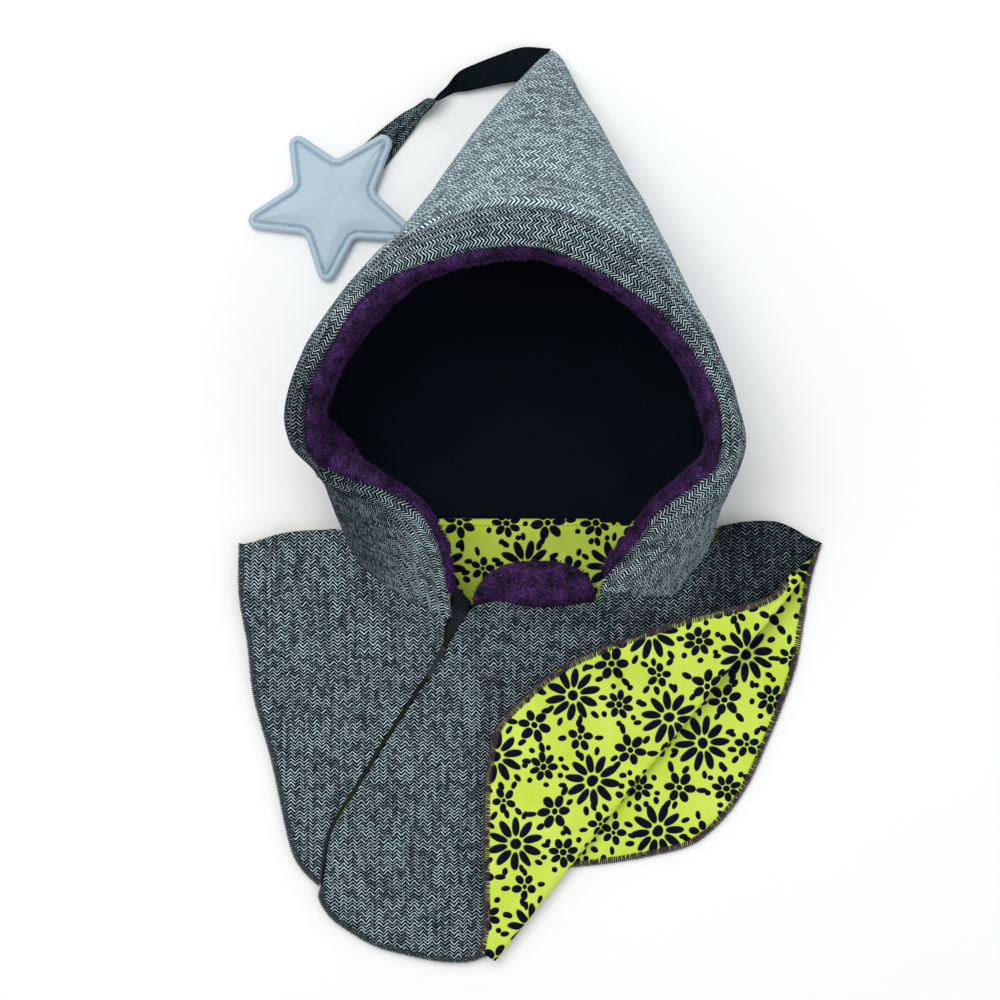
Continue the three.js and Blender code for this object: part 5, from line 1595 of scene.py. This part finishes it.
class HOOD_OT_stage(bpy.types.Operator):
    """Lays the floor and sets the soft lights"""

    bl_idname = "hood.stage"
    bl_label = "Floor and lights"

    def execute(self, context):
        side = np.linspace(-4, 4, 9)
        grid = points(side[:, None] + 0 * side[None], side[None] + 0 * side[:, None], -0.0002)
        mesh = bpy.data.meshes.new("floor")
        mesh.from_pydata(grid.reshape(-1, 3).tolist(), [], quads(8, 8).tolist())
        mesh.materials.append(material_of("floor", floor_material))
        linked("floor", mesh)
        lights = [  # name, place, size, power, colour
            ("window light", (-0.5, 0.7, 1.9), 1.1, 21.0, (1.0, 0.99, 0.97)),
            ("fill light", (1.3, -0.9, 1.5), 1.6, 4.8, (0.93, 0.97, 1.0)),
        ]
        for name, place, size, power, colour in lights:
            data = bpy.data.lights.new(name, "AREA")
            data.size = size
            data.energy = power
            data.color = colour
            light = linked(name, data)
            light.location = place
            # aimed at the origin
            light.rotation_euler = (math.atan2(math.hypot(*place[:2]), place[2]), 0, math.atan2(place[0], -place[1]))
        world = bpy.data.worlds.new("white room")
        world.use_nodes = True
        background = world.node_tree.nodes["Background"]
        background.inputs[0].default_value = (1.0, 1.0, 1.0, 1.0)
        background.inputs[1].default_value = 0.64
        context.scene.world = world
        context.scene.view_settings.view_transform = "Standard"
        return {"FINISHED"}


class HOOD_OT_cloth(bpy.types.Operator):
    """Makes the hood's tweed with its rolled rim"""

    bl_idname = "hood.cloth"
    bl_label = "Hood cloth"

    def execute(self, context):
        obj = settle(build_hood_tweed(tweed()), "tweed", "hood_shell")
        cut(obj, "laid", ["cape_back"])
        return {"FINISHED"}


class HOOD_OT_rim(bpy.types.Operator):
    """Makes the plush facing inside the rim"""

    bl_idname = "hood.rim"
    bl_label = "Rim plush"

    def execute(self, context):
        sections = rim_plush_sections()
        ground = settle(loft_mesh("rim_plush_ground", sections, [plush()]), "plush", "rim_plush")
        face = sections[:, : sections.shape[1] // 2]
        corner = face[:-1, :-1]
        turn = np.cross(face[1:, :-1] - corner, face[:-1, 1:] - corner)
        if (turn * (corner - sections.mean(1, keepdims=True)[:-1])).sum() < 0:
            face = face[:, ::-1]
        pile = pile_over("rim_plush_pile", face, "plush", (0, 0, 0.2), 9.5e5)
        cut(ground, "stretched", ["hood_shell"], [pile])
        return {"FINISHED"}


class HOOD_OT_lining(bpy.types.Operator):
    """Makes the hood's dark lining"""

    bl_idname = "hood.lining"
    bl_label = "Hood lining"

    def execute(self, context):
        upper, lower = lining_grid(0), lining_grid(LINING)
        uv = np.stack(np.meshgrid(np.arange(upper.shape[0]), np.arange(upper.shape[1]), indexing="ij"), -1)
        cloth = material_of("lining", lining_material)
        obj = sheet_mesh("hood_lining_cloth", upper, lower, uv * 2.0, cloth, HOOD_MIDDLE, seam=True)
        remade(obj, 2e-5)
        settle(obj, "dark_lining", "hood_lining")
        cut(obj, "laid", ["hood_shell"])
        return {"FINISHED"}


class HOOD_OT_cape_back(bpy.types.Operator):
    """Makes the cape's back panel and its printed lining"""

    bl_idname = "hood.cape_back"
    bl_label = "Cape back"

    def execute(self, context):
        outer = back_sheet("back_tweed", 0, CAPE_TWEED, tweed())
        # the back's tweed drawn evenly darker through the painted light and shade attribute
        mark_painted_light(outer, lambda co: 0 * co[:, 0] - 0.3)
        settle(outer, "tweed", "cape_back")
        inner = back_sheet("back_print", BACK_LINING, BACK_LINING + CAPE_LINING, printed())
        settle(inner, "print_lining", "cape_back_lining")
        for obj, under_it in ((outer, "floor"), (inner, "back_tweed")):
            cut(obj, "laid", [under_it])
        return {"FINISHED"}


class HOOD_OT_cape_fronts(bpy.types.Operator):
    """Makes the cape's two front panels, the right one with its turned-over corner"""

    bl_idname = "hood.cape_fronts"
    bl_label = "Cape fronts"

    def execute(self, context):
        tweed_sheet, print_sheet = (FRONT_TWEED, CLOTH_TOP, tweed()), (0, CAPE_LINING, printed())
        for side, build, held in (("left", front_left_sheet, "laid"), ("right", front_right_sheet, "folded")):
            node = "cape_front_" + side
            outer = settle(build(f"front_{side}_tweed", *tweed_sheet), "tweed", node)
            inner = settle(build(f"front_{side}_print", *print_sheet), "print_lining", node + "_lining")
            mark_painted_light(outer, front_painted_light)
            cut(outer, held, [inner.name])
            cut(inner, held, ["back_print"])
        return {"FINISHED"}


class HOOD_OT_chin(bpy.types.Operator):
    """Makes the plush chin guard behind the front neckline"""

    bl_idname = "hood.chin"
    bl_label = "Chin guard"

    def execute(self, context):
        sections = chin_sections()
        obj = settle(loft_mesh("chin_guard_ground", sections, [plush()]), "plush", "chin_guard")
        face = sections[:, : sections.shape[1] // 2 + 1]
        pile_over("chin_guard_pile", face[:, ::-1], "plush", (0, 0, 0.4), 9e5, 7)
        return {"FINISHED"}


class HOOD_OT_zip(bpy.types.Operator):
    """Makes the zip's tape and teeth, and finishes its slider and pull"""

    bl_idname = "hood.zip"
    bl_label = "Zip"

    def execute(self, context):
        t = np.linspace(0.004, 0.996, 160)
        middle = zip_middle(t)
        ahead = zip_middle(np.minimum(1, t + 0.01)) - zip_middle(t - 0.004)
        ahead[:, 2] = 0
        ahead = unit(ahead)
        half = (zip_half(t) - 0.4)[:, None]
        # the open tape ends spread towards the neck
        spread = np.linspace(1, 0, 12)[:-1, None]
        middle = np.vstack([middle[0] + spread * (3.0, 13.0, 0.0), middle])
        ahead = np.vstack([unit(ahead[0] + spread * (-0.45, 0.1, 0.0)), ahead])
        half = np.vstack([half[0] + spread * 2.8, half])
        t = np.concatenate([0 * spread[:, 0], t])
        side = points(-ahead[:, 1], ahead[:, 0], 0)
        base = front_at(middle, 0)
        shape = [(-1, 0.2), (-0.4, 0.2), (0.4, 0.2), (1, 0.2), (1, 1.4), (0.75, 1.85), (0.3, 1.8), (0, 1.5),
                 (-0.3, 1.8), (-0.75, 1.85), (-1, 1.4)]
        sections = np.stack([base + side * half * a + (0, 0, b) for a, b in shape], 1)
        tape = loft_mesh("zip_tape_cloth", sections, [material_of("tape", tape_material)])
        settle(tape, "zip_tape", "zip_tape")
        tooth = [(0, -1.0, 0.2), (0, -0.5, 0.55), (0, 0.5, 0.55), (0, 1.0, 0.2)]
        teeth_line = (base + (0, 0, 1.6))[t > 0.2]
        enamel = material_of("enamel", enamel_material)
        row_of_pieces("zip_teeth", teeth_line, tooth, 0.42, enamel, "zip_metal", sizes().tooth * 1000, 0.0, 0.02,
                      sides=6)
        for name in ("zip_slider", "zip_pull"):
            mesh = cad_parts[name].data
            mesh.materials.clear()
            mesh.materials.append(enamel)
        return {"FINISHED"}


class HOOD_OT_strap(bpy.types.Operator):
    """Makes the strap from the hood's point to the star"""

    bl_idname = "hood.strap"
    bl_label = "Strap"

    def execute(self, context):
        sections = strap_sections()
        half = sections.shape[1] // 2
        reverse = material_of("reverse", reverse_material)
        obj = loft_mesh("strap_cloth", sections, [tweed(), reverse], 1.2, lambda j: int(j >= half - 1))
        # the strap's tweed drawn evenly darker through the painted light and shade attribute
        mark_painted_light(obj, lambda co: 0 * co[:, 0] - 1.0)
        settle(obj, "tweed", "strap")
        cut(obj, "folded", ["hood_tweed"], measured=False)
        return {"FINISHED"}


class HOOD_OT_star(bpy.types.Operator):
    """Makes the padded star with its stitched groove"""

    bl_idname = "hood.star"
    bl_label = "Star"

    def execute(self, context):
        outline = star_outline()
        obj = star_mesh(outline, material_of("satin", satin_material, colours()))
        settle(obj, "star_cloth", "star")
        height = STAR_THICKNESS / 2 + star_height(STAR_GROOVE) + 0.15
        line = star_place(star_ring(outline, STAR_GROOVE), height)
        run_stitches("star_stitching", np.vstack([line, line[:1]]), 2.6, sizes().star_stitch * 1000, 0.25,
                     thread("pale", "#8da3b3", "#b4c7d4"), "star_cloth")
        return {"FINISHED"}


class HOOD_OT_hems(bpy.types.Operator):
    """Wraps the cape's edges in overlock thread"""

    bl_idname = "hood.hems"
    bl_label = "Edge stitching"

    def execute(self, context):
        dark, plum = thread("dark green", "#0a1a22", "#24404a"), thread("plum", "#170a18", "#54334e")
        t = np.linspace(0, 1, 500)
        middle = CLOTH_TOP / 2
        left, right, back = (patch_point(patch, t, np.ones_like(t))[::-1]
                             for patch in (LEFT_PATCH, RIGHT_PATCH, BACK_PATCH))
        back = back[back[:, 0] > -120]
        back[:, 2] = BACK_LINING - GAP / 2 + 0.2
        flap = fold_grid(middle, 2, 12, 400)[0][-1][12:][::-1]
        across = np.linspace(-62, 80, 120)
        neck = points(across, -3.6, 6.9)
        run_stitches("neck_stitching", neck, 2.2, 2.7, 0.2, dark, "print_lining", 5)
        for seed, (name, line, yarn) in enumerate([
            ("left_hem_stitching", front_at(left, 0) + (0, 0, middle), dark),
            ("right_hem_stitching", front_at(right, 0) + (0, 0, middle), dark),
            ("back_hem_stitching", back, plum),
            ("flap_edge_stitching", flap, plum),
        ], 1):
            edge_stitches(name, line, middle + 0.2, yarn, seed)
        return {"FINISHED"}


class HOOD_PT_pieces(bpy.types.Panel):
    """Lists the hood's sizes, colours and pieces"""

    bl_label = "Pointed hood"
    bl_idname = "HOOD_PT_pieces"
    bl_space_type = "VIEW_3D"
    bl_region_type = "UI"
    bl_category = "Hood"

    def draw(self, context):
        layout = self.layout
        for group in (context.scene.hood_sizes, context.scene.hood_colours):
            box = layout.box()
            for key in group.__annotations__:
                box.prop(group, key)
        for piece in PIECES:
            layout.operator(piece.bl_idname)


PIECES = (
    HOOD_OT_camera, HOOD_OT_stage, HOOD_OT_cloth, HOOD_OT_rim, HOOD_OT_lining, HOOD_OT_cape_back,
    HOOD_OT_cape_fronts, HOOD_OT_chin, HOOD_OT_zip, HOOD_OT_strap, HOOD_OT_star, HOOD_OT_hems,
)
CLASSES = (HoodSizes, HoodColours, *PIECES, HOOD_PT_pieces)


def register():
    for item in CLASSES:
        bpy.utils.register_class(item)
    bpy.types.Scene.hood_sizes = bpy.props.PointerProperty(type=HoodSizes)
    bpy.types.Scene.hood_colours = bpy.props.PointerProperty(type=HoodColours)


def unregister():
    del bpy.types.Scene.hood_colours
    del bpy.types.Scene.hood_sizes
    for item in reversed(CLASSES):
        bpy.utils.unregister_class(item)


def main():
    register()
    for piece in PIECES:
        group, name = piece.bl_idname.split(".")
        getattr(getattr(bpy.ops, group), name)()


if __name__ == "__main__":
    main()
